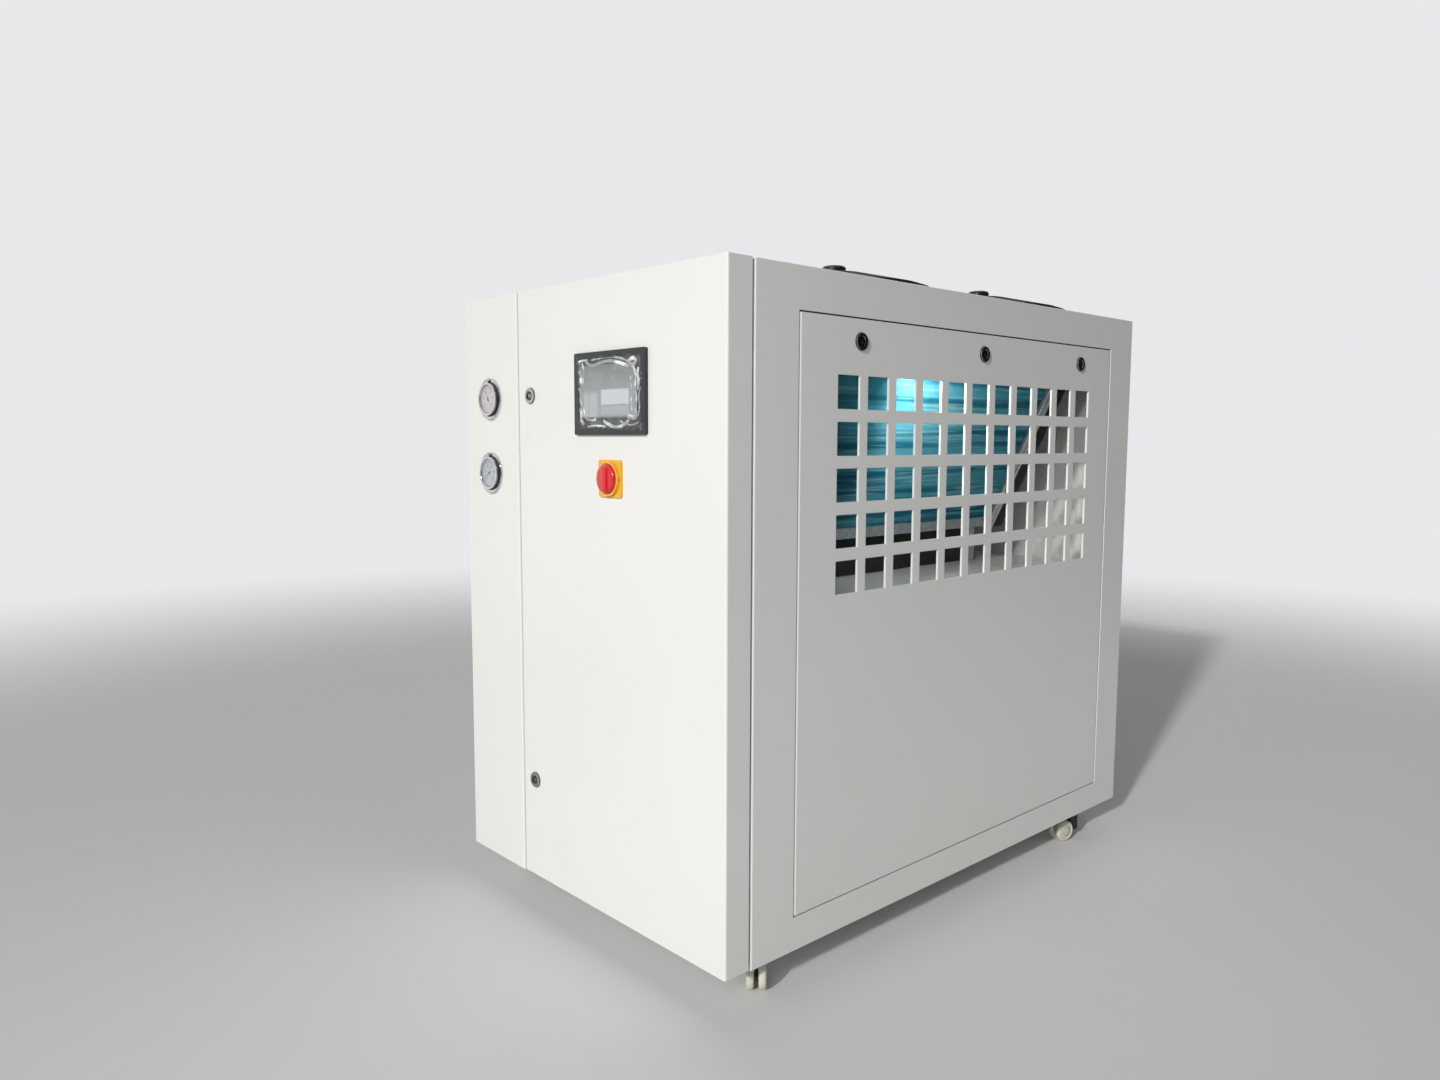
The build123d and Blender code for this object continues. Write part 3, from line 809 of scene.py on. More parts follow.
    @staticmethod
    def copy(piece: bpy.types.Object, name: str, move: Sequence[float] = (0.0, 0.0, 0.0),
             turn: Matrix | None = None) -> bpy.types.Object:
        """Copy a piece with its own mesh.

        Args:
            piece: the object.
            name: the copy's name.
            move: how far the copy goes.
            turn: rotation about the origin, before the move.

        Returns:
            The copy.
        """
        Bench.pick(piece)
        bpy.ops.object.duplicate()
        made = bpy.context.active_object
        made.name = name
        made.data.name = name
        if turn is not None:
            made.data.transform(turn.to_4x4())
        made.data.transform(Matrix.Translation(Vector(move)))
        return made

    @staticmethod
    def mirror(piece: bpy.types.Object, name: str) -> bpy.types.Object:
        """Copy a piece across the middle plane, left to right.

        Args:
            piece: the object.
            name: the copy's name.

        Returns:
            The copy, with its faces outwards.
        """
        made = Bench.copy(piece, name)
        made.data.transform(Matrix.Scale(-1.0, 4, Vector((1.0, 0.0, 0.0))))
        made.data.flip_normals()
        return made

    @staticmethod
    def join(name: str, pieces: Sequence[bpy.types.Object]) -> bpy.types.Object:
        """Join pieces into one mesh.

        Args:
            name: the new name.
            pieces: what is joined.

        Returns:
            The joined object.
        """
        made = Bench.pick(*pieces)
        if len(pieces) > 1:
            bpy.ops.object.join()
        made.name = name
        made.data.name = name
        return made

    @staticmethod
    def tube(name: str, points: Sequence[Sequence[float]], radius: float, sides: int = 2,
             straight: bool = False) -> bpy.types.Object:
        """Round tube along points.

        Args:
            name: the piece's name.
            points: the way it goes.
            radius: its radius.
            sides: bevel resolution of the curve.
            straight: keep the corners sharp.

        Returns:
            The tube as a mesh.
        """
        Bench.clear()
        curve = bpy.data.curves.new(name, "CURVE")
        curve.dimensions = "3D"
        curve.bevel_depth = radius
        curve.bevel_resolution = sides
        curve.use_fill_caps = True
        curve.resolution_u = 3
        spline = curve.splines.new("POLY" if straight else "NURBS")
        spline.points.add(len(points) - 1)
        for point, place in zip(spline.points, points):
            point.co = (*place, 1.0)
        if not straight:
            spline.order_u = 3
            spline.use_endpoint_u = True
        made = bpy.data.objects.new(name, curve)
        bpy.context.collection.objects.link(made)
        Bench.pick(made)
        bpy.ops.object.convert(target="MESH")
        made = bpy.context.active_object
        made.name = name
        return Bench.smooth(made, 50.0)


def wear(piece: bpy.types.Object, material: bpy.types.Material) -> None:
    """Give a piece one material.

    Args:
        piece: the object.
        material: its finish.
    """
    piece.data.materials.clear()
    piece.data.materials.append(material)


def hand_over(piece: bpy.types.Object, body: str, material: bpy.types.Material,
              replaces: Iterable[str] = ()) -> None:
    """Dress a finished piece and let it ride on its body.

    Args:
        piece: the object.
        body: name of the body that carries it.
        material: its finish.
        replaces: CAD nodes that it stands for.
    """
    wear(piece, material)
    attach(piece, body)
    names = list(replaces)
    if names:
        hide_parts(*names)
    log.info("%s rides on %s with %d faces", piece.name, body, len(piece.data.polygons))


# Sub-assemblies


@dataclass
class Cabinet:
    """Painted sheets of the body, with their screws and seals."""

    palette: Palette
    screw_radius: float = 4.2 * MM
    screw_height: float = 2.2 * MM
    panel_inset: float = 12.0 * MM
    hole: tuple[float, float] = (60.0 * MM, 60.5 * MM)
    pitch: tuple[float, float] = (81.2 * MM, 81.4 * MM)
    columns: int = 11
    rows: int = 5
    top_row: float = 1046.0 * MM
    rim_depth: float = 4.0 * MM

    PAINTED = ("base_frame", "front_left_post", "front_right_post", "rear_left_post", "rear_right_post",
               "top_rail_left", "top_rail_right", "roof_panel", "fan_throats", "side_grille_left",
               "side_grille_right", "rear_panel", "gauge_panel", "front_door", "deck")
    ZINC = ("bulkhead", "coil_frame_left", "coil_frame_right", "caster_plates")

    def dress(self, nodes: dict[str, bpy.types.Object]) -> None:
        """Paint the sheets.

        Args:
            nodes: the frame's nodes by name.
        """
        for name in self.PAINTED:
            if name in nodes:
                wear(nodes[name], self.palette.paint)
        for name in self.ZINC:
            wear(nodes[name], self.palette.zinc)

    def screw(self) -> bpy.types.Object:
        """Pan head screw at the origin, pointing up, with a round recess."""
        head = Bench.disc("screw", (0, 0, self.screw_height / 2), self.screw_radius, self.screw_height,
                          Axis.Z, 20)
        Bench.inset(head, (0, 0, 1), self.screw_radius * 0.42, 0.0)
        Bench.faces(head, lambda p: p.normal.z > 0.9 and p.center.length < self.screw_radius * 0.8
                    and len(p.vertices) > 4)
        bpy.ops.mesh.inset(thickness=self.screw_radius * 0.2, depth=-self.screw_height * 0.5)
        Bench.done()
        return Bench.soften(head, 0.5 * MM, 2)

    def rear_screws(self) -> None:
        """Screws round the rear panel."""
        low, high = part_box("rear_panel")
        pattern = self.screw()
        turn = Matrix.Rotation(-math.pi / 2, 3, "X")
        across = [low[0] + self.panel_inset + i * (high[0] - low[0] - 2 * self.panel_inset) / 3 for i in range(4)]
        up = [low[2] + self.panel_inset + i * (high[2] - low[2] - 2 * self.panel_inset) / 4 for i in range(5)]
        places = [(x, z) for x in across for z in (up[0], up[-1])]
        places += [(x, z) for z in up[1:-1] for x in (across[0], across[-1])]
        screws = [Bench.copy(pattern, "rear_screw", (x, high[1], z), turn) for x, z in places]
        bpy.data.objects.remove(pattern)
        hand_over(Bench.join("rear_panel_screws", screws), Body.CABINET.value, self.palette.steel)

    def roof_screws(self) -> None:
        """Screws along the roof's two long edges."""
        low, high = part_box("roof_panel")
        pattern = self.screw()
        count = 6
        screws = []
        for side in (low[0] + 2 * self.panel_inset, high[0] - 2 * self.panel_inset):
            for i in range(count):
                y = low[1] + 0.05 + i * (high[1] - low[1] - 0.1) / (count - 1)
                screws.append(Bench.copy(pattern, "roof_screw", (side, y, high[2])))
        bpy.data.objects.remove(pattern)
        hand_over(Bench.join("roof_screws", screws), Body.CABINET.value, self.palette.steel)

    def door_seal(self) -> None:
        """Foam seal inside the door, along its face."""
        low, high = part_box("front_door")
        inset, width, thick = 14 * MM, 10 * MM, 6 * MM
        y0 = low[1] + 1.5 * MM
        x0, x1 = low[0] + inset, high[0] - inset
        z0, z1 = low[2] + inset, high[2] - inset
        bars = [
            Bench.block("seal", (x0, y0, z0), (x1, y0 + thick, z0 + width)),
            Bench.block("seal", (x0, y0, z1 - width), (x1, y0 + thick, z1)),
            Bench.block("seal", (x0, y0, z0 + width), (x0 + width, y0 + thick, z1 - width)),
            Bench.block("seal", (x1 - width, y0, z0 + width), (x1, y0 + thick, z1 - width)),
        ]
        seal = Bench.soften(Bench.join("door_seal", bars), 1.5 * MM, 2)
        hand_over(seal, Body.DOOR.value, self.palette.foam)

    def panel_seals(self) -> None:
        """Black foam strips round each side panel, in the gap to the frame, as painted shade of the gap."""
        low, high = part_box("side_grille_right")
        gap, deep, width = 2.6 * MM, 4.0 * MM, 6.0 * MM
        x0, x1 = high[0] - deep - width, high[0] - deep
        y0, y1, z0, z1 = low[1] - gap, high[1] + gap, low[2] - gap, high[2] + gap
        # The strips paint the shade in the gap round the panel.
        bars = [
            Bench.block("seal", (x0, y0, z0), (x1, y1, z0 + gap - 0.4 * MM)),
            Bench.block("seal", (x0, y0, z1 - gap + 0.4 * MM), (x1, y1, z1)),
            Bench.block("seal", (x0, y0, z0 + gap), (x1, y0 + gap - 0.4 * MM, z1 - gap)),
            Bench.block("seal", (x0, y1 - gap + 0.4 * MM, z0 + gap), (x1, y1, z1 - gap)),
        ]
        seal = Bench.soften(Bench.join("panel_gap_shade_right", bars), 0.4 * MM, 1)
        other = Bench.mirror(seal, "panel_gap_shade_left")
        for piece in (seal, other):
            hand_over(piece, Body.CABINET.value, self.palette.foam)

    def hole_rims(self) -> None:
        """Rolled rims behind the square holes of both side panels."""
        low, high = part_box("side_grille_right")
        middle = (low[1] + high[1]) / 2
        half_w, half_h = self.hole[0] / 2, self.hole[1] / 2
        front, back, wall = high[0] - 0.4 * MM, high[0] - self.rim_depth, 0.7 * MM
        ring = Bench.block("rim", (back, -half_w, -half_h), (front, half_w, half_h))
        Bench.faces(ring, lambda p: abs(p.normal.x) > 0.9)
        bpy.ops.mesh.inset(thickness=wall, depth=0.0)
        Bench.done()
        Bench.faces(ring, lambda p: abs(p.normal.x) > 0.9 and max(abs(p.center.y), abs(p.center.z)) < wall)
        bpy.ops.mesh.bridge_edge_loops()
        Bench.done()
        rims = []
        for column in range(self.columns):
            for row in range(self.rows):
                y = middle + (column - (self.columns - 1) / 2) * self.pitch[0]
                z = self.top_row - row * self.pitch[1]
                rims.append(Bench.copy(ring, "rim", (0.0, y, z)))
        bpy.data.objects.remove(ring)
        piece = Bench.join("grille_rims_right", rims)
        for made in (piece, Bench.mirror(piece, "grille_rims_left")):
            hand_over(made, Body.CABINET.value, self.palette.paint)

    def build(self, nodes: dict[str, bpy.types.Object]) -> None:
        """Dress the sheets and add the small pieces.

        Args:
            nodes: the frame's nodes by name.
        """
        self.dress(nodes)
        self.rear_screws()
        self.roof_screws()
        self.door_seal()
        self.panel_seals()
        self.hole_rims()


@dataclass
class Fans:
    """Guards, hubs and rotors on the roof."""

    palette: Palette
    places: tuple[str, ...] = ("front_left", "front_right", "rear_left", "rear_right")
    wire: float = 1.4 * MM
    ring_pitch: float = 12.6 * MM
    ring_count: int = 10
    rib_end: tuple[float, float] = (191.0 * MM, 6.0 * MM)
    rib_start: tuple[float, float] = (50.0 * MM, 40.0 * MM)

    def guard_wires(self) -> bpy.types.Object:
        """Concentric wires on the ribs of one guard, centred on the origin at roof level."""
        (r1, z1), (r0, z0) = self.rib_end, self.rib_start
        rings = []
        for i in range(self.ring_count):
            r = r1 - (i + 1) * self.ring_pitch
            z = z1 + (z0 - z1) * (r1 - r) / (r1 - r0) + self.wire * 0.7
            rings.append(Bench.hoop("wire", (0, 0, z), r, self.wire, Axis.Z, 72, 8))
        return Bench.smooth(Bench.join("guard_wires", rings), 60.0)

    def hub_trim(self) -> bpy.types.Object:
        """Screws and a rolled edge on one motor plate, centred on the origin at roof level."""
        pieces = []
        for i in range(4):
            angle = math.radians(45 + 90 * i)
            place = (math.cos(angle) * 40 * MM, math.sin(angle) * 40 * MM, 41.2 * MM)
            head = Bench.disc("hub_screw", place, 4 * MM, 3 * MM, Axis.Z, 16)
            Bench.inset(head, (0, 0, 1), 1.2 * MM, -1.2 * MM)
            pieces.append(head)
        edge = Bench.hoop("plate_edge", (0, 0, 38.6 * MM), 53.2 * MM, 1.3 * MM, Axis.Z, 64, 8)
        step = Bench.hoop("cap_step", (0, 0, 40.6 * MM), 25.0 * MM, 1.2 * MM, Axis.Z, 48, 8)
        return Bench.soften(Bench.join("hub_trim", [*pieces, edge, step]), 0.4 * MM, 1)

    def build(self, nodes: dict[str, bpy.types.Object]) -> None:
        """Dress guards and rotors and add the wires.

        Args:
            nodes: the frame's nodes by name.
        """
        wires = self.guard_wires()
        trim = self.hub_trim()
        for place in self.places:
            guard, fan = nodes[f"fan_guard_{place}"], nodes[f"fan_{place}"]
            wear(guard, self.palette.guard)
            wear(fan, self.palette.blade)
            low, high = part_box(f"fan_guard_{place}")
            _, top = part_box("roof_panel")
            centre = ((low[0] + high[0]) / 2, (low[1] + high[1]) / 2, top[2])
            for pattern in (wires, trim):
                made = Bench.copy(pattern, f"{pattern.name}_{place}", centre)
                hand_over(made, Body.CABINET.value, self.palette.guard)
        for pattern in (wires, trim):
            bpy.data.objects.remove(pattern)


@dataclass
class Coils:
    """Fins, tube ends and bends of the two coils."""

    palette: Palette
    fin_pitch: float = 2.6 * MM
    fin_thickness: float = 0.25 * MM
    fin_waves: int = 24
    wave_height: float = 0.45 * MM
    tube_radius: float = 4.8 * MM
    tube_pitch: float = 25.4 * MM
    rows: tuple[float, ...] = (14.0 * MM, 36.0 * MM)
    channel: float = 26.0 * MM
    thickness: float = 60.0 * MM
    foot: tuple[float, float] = (148.0 * MM, 751.0 * MM)
    top: tuple[float, float] = (337.0 * MM, 1138.0 * MM)

    def slope(self) -> tuple[Vector, Vector, float]:
        """Directions of the right coil.

        Returns:
            Unit vector up the slope, unit vector into the coil, and the slope's length.
        """
        up = Vector((self.top[0] - self.foot[0], 0.0, self.top[1] - self.foot[1]))
        length = up.length
        up.normalize()
        return up, Vector((-up.z, 0.0, up.x)), length

    def point(self, along: float, deep: float, y: float) -> Vector:
        """Point on the right coil.

        Args:
            along: distance up the slope from the foot.
            deep: distance into the coil from its outer face.
            y: place along the coil.

        Returns:
            The point.
        """
        up, into, _ = self.slope()
        return Vector((self.foot[0], y, self.foot[1])) + up * along + into * deep

    def fin_pack(self) -> bpy.types.Object:
        """Pressed fins, which replace the plain slab."""
        low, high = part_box("coil_right")
        _, _, length = self.slope()
        run = length - self.channel
        Bench.clear()
        bpy.ops.mesh.primitive_grid_add(x_subdivisions=self.fin_waves, y_subdivisions=1, size=1.0)
        fin = bpy.context.active_object
        fin.scale = (run, self.thickness, 1.0)
        Bench.settle("fin")
        wave = self.wave_height + self.fin_thickness
        for vertex in fin.data.vertices:
            along = vertex.co.x + run / 2
            crest = round(along / run * self.fin_waves) % 2
            y = low[1] + (wave if crest else self.fin_thickness)
            vertex.co = self.point(self.channel + along, vertex.co.y + self.thickness / 2, y)
        Bench.pick(fin)
        thick = fin.modifiers.new("thickness", "SOLIDIFY")
        thick.thickness = self.fin_thickness
        thick.offset = 0.0
        bpy.ops.object.modifier_apply(modifier=thick.name)
        count = int((high[1] - low[1] - wave - self.fin_thickness) / self.fin_pitch)
        array = fin.modifiers.new("row", "ARRAY")
        array.use_relative_offset = False
        array.use_constant_offset = True
        array.constant_offset_displace = (0.0, self.fin_pitch, 0.0)
        array.count = count
        bpy.ops.object.modifier_apply(modifier=array.name)
        return fin

    def bends(self) -> bpy.types.Object:
        """Return bends at the rear end and hairpins' straight ends at the front end."""
        low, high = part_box("coil_right")
        _, _, length = self.slope()
        pieces = []
        count = int((length - self.channel - 2 * self.tube_pitch) / (2 * self.tube_pitch))
        reach = 13 * MM
        for row in self.rows:
            for i in range(count):
                first = self.channel + self.tube_pitch * (1 + 2 * i)
                for end, sign in ((high[1] + 2 * MM, 1.0), (low[1] - 2 * MM, -1.0)):
                    shift = 0.0 if sign > 0 else self.tube_pitch
                    if sign < 0 and i == count - 1:
                        continue
                    a, b = first + shift, first + shift + self.tube_pitch
                    y1 = end + sign * reach * (1.0 if sign > 0 else 0.5)
                    path = [self.point(a, row, end), self.point(a, row, end + sign * 2 * MM),
                            self.point(a, row, y1), self.point((a + b) / 2, row, y1),
                            self.point(b, row, y1), self.point(b, row, end + sign * 2 * MM),
                            self.point(b, row, end)]
                    pieces.append(Bench.tube("bend", path, self.tube_radius if sign > 0 else self.tube_radius * 0.9))
        return Bench.join("return_bends_right", pieces)

    def strip(self, name: str, y: tuple[float, float], deep: tuple[float, float]) -> bpy.types.Object:
        """Bar that runs up the slope of the right coil.

        Args:
            name: the piece's name.
            y: where it starts and ends along the coil.
            deep: its outer and inner distance into the coil.

        Returns:
            The bar.
        """
        _, _, length = self.slope()
        bar = Bench.block(name, (0.0, y[0], deep[0]), (length, y[1], deep[1]))
        for vertex in bar.data.vertices:
            vertex.co = self.point(vertex.co.x, vertex.co.z, vertex.co.y)
        Bench.faces(bar, lambda polygon: True)
        bpy.ops.mesh.normals_make_consistent(inside=False)
        Bench.done()
        return Bench.soften(bar, 0.5 * MM, 2)

    def end_strips(self) -> tuple[bpy.types.Object, bpy.types.Object]:
        """Folded flanges beside the right coil's rear end plate, and a black strip behind them that paints the shade
        there.

        Returns:
            The flanges as one piece, and the black strip of painted shade.
        """
        _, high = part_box("coil_right")
        rear = high[1]
        flanges = [
            self.strip("flange", (rear - 7 * MM, rear + 2 * MM), (-12 * MM, -9.2 * MM)),
            self.strip("flange", (rear + 12 * MM, rear + 20 * MM), (-12 * MM, -9.2 * MM)),
            self.strip("web", (rear + 2.4 * MM, rear + 20 * MM), (-9.0 * MM, -7.0 * MM)),
        ]
        # Black strip behind the end plate: painted shade.
        seal = self.strip("coil_end_shade_right", (rear + 20.4 * MM, rear + 66 * MM), (-9.0 * MM, -6.0 * MM))
        return Bench.join("coil_end_flanges_right", flanges), seal

    def build(self, nodes: dict[str, bpy.types.Object]) -> None:
        """Make both coils.

        Args:
            nodes: the frame's nodes by name.
        """
        pack = self.fin_pack()
        other = Bench.mirror(pack, "fin_pack_left")
        pack.name = "fin_pack_right"
        hand_over(pack, Body.CABINET.value, self.palette.fins, ["coil_right"])
        hand_over(other, Body.CABINET.value, self.palette.fins, ["coil_left"])
        bends = self.bends()
        mirrored = Bench.mirror(bends, "return_bends_left")
        for piece in (bends, mirrored):
            hand_over(piece, Body.CABINET.value, self.palette.copper)
        flanges, seal = self.end_strips()
        # The flanges wear the paler zinc copy: painted highlight on their edges.
        for piece in (flanges, Bench.mirror(flanges, "coil_end_flanges_left")):
            hand_over(piece, Body.CABINET.value, self.palette.bright)
        # Black sheet below the coil's foot, along the coil: painted shade.
        low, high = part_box("coil_right")
        x = self.foot[0] - 36 * MM
        foot_shade = Bench.block("coil_foot_shade_right", (x, low[1], self.foot[1] - 87 * MM),
                            (x + 3 * MM, high[1], self.foot[1] - 2 * MM))
        Bench.soften(foot_shade, 0.8 * MM, 2)
        for piece in (seal, Bench.mirror(seal, "coil_end_shade_left"), foot_shade,
                      Bench.mirror(foot_shade, "coil_foot_shade_left")):
            hand_over(piece, Body.CABINET.value, self.palette.foam)


@dataclass
class Gauges:
    """Dial gauges on the front strip."""

    palette: Palette
    names: tuple[str, ...] = ("gauge_lower", "gauge_upper")
    needle_turns: tuple[float, ...] = (-118.0, -32.0)
    flange: float = 43.5 * MM
    case: float = 34.0 * MM
    proud: float = 10.0 * MM
    dial: float = 29.0 * MM

    def centre(self, name: str) -> tuple[float, float, float]:
        """Centre of a gauge at its front.

        Args:
            name: the gauge's node.

        Returns:
            The point.
        """
        low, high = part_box(name)
        return (low[0] + high[0]) / 2, low[1], (low[2] + high[2]) / 2

    def bezel(self, name: str) -> None:
        """Rounded chrome bezel, the raised rim of the flange, and black rings of painted shade."""
        x, y, z = self.centre(name)
        rim = Bench.hoop("bezel_rim", (x, y + 3.0 * MM, z), self.case - 2.6 * MM, 2.6 * MM, Axis.Y, 72, 12)
        skirt = Bench.hoop("flange_rim", (x, y + self.proud - 2.2 * MM, z), self.flange - 2.0 * MM, 1.7 * MM,
                           Axis.Y, 72, 10)
        piece = Bench.smooth(Bench.join(f"{name}_bezel", [rim, skirt]), 60.0)
        hand_over(piece, Body.CABINET.value, self.palette.chrome)
        # Black rings of painted shade: one round the case by the flange, one round the dial's edge.
        case_shade_band = Bench.hoop("case_shade_band", (x, y + 6.2 * MM, z), self.case + 0.6 * MM, 1.5 * MM, Axis.Y, 72, 10)
        dial_shade_ring = Bench.hoop("dial_shade_ring", (x, y + 3.6 * MM, z), self.dial - 0.4 * MM, 0.9 * MM, Axis.Y, 72, 8)
        rings = Bench.smooth(Bench.join(f"{name}_rings", [case_shade_band, dial_shade_ring]), 60.0)
        hand_over(rings, Body.CABINET.value, self.palette.black)

    def plug(self, name: str) -> None:
        """Fill plug on top of the case."""
        x, y, z = self.centre(name)
        stub = Bench.disc("stub", (x, y + 6.4 * MM, z + self.case + 2.0 * MM), 3.6 * MM, 7.0 * MM, Axis.Z, 20)
        Bench.inset(stub, (0, 0, 1), 1.0 * MM, -1.2 * MM)
        hand_over(Bench.soften(stub, 0.6 * MM), Body.CABINET.value, self.palette.lock)
        stub.name = f"{name}_plug"

    def dial_card(self, name: str, material: bpy.types.Material) -> None:
        """Dial card with a raised rim of its own.

        Args:
            name: the gauge's node.
            material: finish of the card.
        """
        x, y, z = self.centre(name)
        card = Bench.disc(f"{name}_dial", (x, y + 4.6 * MM, z), self.dial, 0.6 * MM, Axis.Y, 64)
        Bench.inset(card, (0, -1, 0), 1.4 * MM, -0.2 * MM)
        hand_over(Bench.smooth(card), Body.CABINET.value, material)

    def scale_marks(self, name: str) -> list[bpy.types.Object]:
        """Ticks round the dial.

        Args:
            name: the gauge's node.

        Returns:
            The ticks.
        """
        x, y, z = self.centre(name)
        long_tick = Bench.block("tick", (-0.45 * MM, 0, 20.5 * MM), (0.45 * MM, 0.3 * MM, 25.5 * MM))
        short_tick = Bench.block("tick", (-0.22 * MM, 0, 22.8 * MM), (0.22 * MM, 0.3 * MM, 25.5 * MM))
        marks = []
        for i in range(51):
            pattern = long_tick if i % 10 == 0 else short_tick
            turn = Matrix.Rotation(math.radians(-135 + 270 * i / 50), 3, "Y")
            marks.append(Bench.copy(pattern, "tick", (x, y + 3.9 * MM, z), turn))
        for pattern in (long_tick, short_tick):
            bpy.data.objects.remove(pattern)
        return marks

    def numbers(self, name: str) -> list[bpy.types.Object]:
        """Plain numbers at the long ticks.

        Args:
            name: the gauge's node.

        Returns:
            The numbers as meshes.
        """
        x, y, z = self.centre(name)
        made = []
        for i, text in enumerate(("0", "2", "4", "6", "8", "10")):
            angle = math.radians(-135 + 54 * i)
            place = (x + math.sin(angle) * 15.6 * MM, y + 4.2 * MM, z + math.cos(angle) * 15.6 * MM)
            Bench.clear()
            bpy.ops.object.text_add(location=place, rotation=(math.pi / 2, 0.0, 0.0))
            letters = bpy.context.active_object
            letters.data.body = text
            letters.data.size = 6.0 * MM
            letters.data.align_x = "CENTER"
            letters.data.align_y = "CENTER"
            letters.data.extrude = 0.15 * MM
            bpy.ops.object.convert(target="MESH")
            made.append(Bench.settle("number"))
        return made

    def needle(self, name: str, turn: float) -> None:
        """Tapered needle with its hub."""
        x, y, z = self.centre(name)
        blade = Bench.block("needle", (-1.0 * MM, 0, -7 * MM), (1.0 * MM, 0.4 * MM, 22 * MM))
        Bench.faces(blade, Bench.facing((0, 0, 1)))
        bpy.ops.transform.resize(value=(0.15, 1.0, 1.0), center_override=(0.0, 0.0, 22 * MM))
        Bench.done()
        blade.data.transform(Matrix.Rotation(math.radians(turn), 4, "Y"))
        blade.data.transform(Matrix.Translation((x, y + 3.2 * MM, z)))
        hub = Bench.disc("needle_hub", (x, y + 3.2 * MM, z), 3.0 * MM, 1.2 * MM, Axis.Y, 24)
        piece = Bench.join(f"{name}_needle", [blade, hub])
        hand_over(Bench.soften(piece, 0.12 * MM, 1), Body.CABINET.value, self.palette.ink)

    def cover(self, name: str) -> None:
        """Slightly crowned clear cover."""
        x, y, z = self.centre(name)
        glass = Bench.disc(f"{name}_cover", (x, y + 2.0 * MM, z), self.dial + 0.6 * MM, 0.6 * MM, Axis.Y, 64)
        Bench.inset(glass, (0, -1, 0), 8 * MM, 0.5 * MM)
        hand_over(Bench.smooth(glass, 60.0), Body.CABINET.value, self.palette.glass)

    def build(self, nodes: dict[str, bpy.types.Object]) -> None:
        """Make both gauges.

        Args:
            nodes: the frame's nodes by name.
        """
        cards = (self.palette.dial_cool, self.palette.dial_warm)
        for name, turn, card in zip(self.names, self.needle_turns, cards):
            wear(nodes[name], self.palette.chrome)
            self.bezel(name)
            self.plug(name)
            self.dial_card(name, card)
            marks = Bench.join(f"{name}_marks", [*self.scale_marks(name), *self.numbers(name)])
            hand_over(marks, Body.CABINET.value, self.palette.ink)
            self.needle(name, turn)
            self.cover(name)


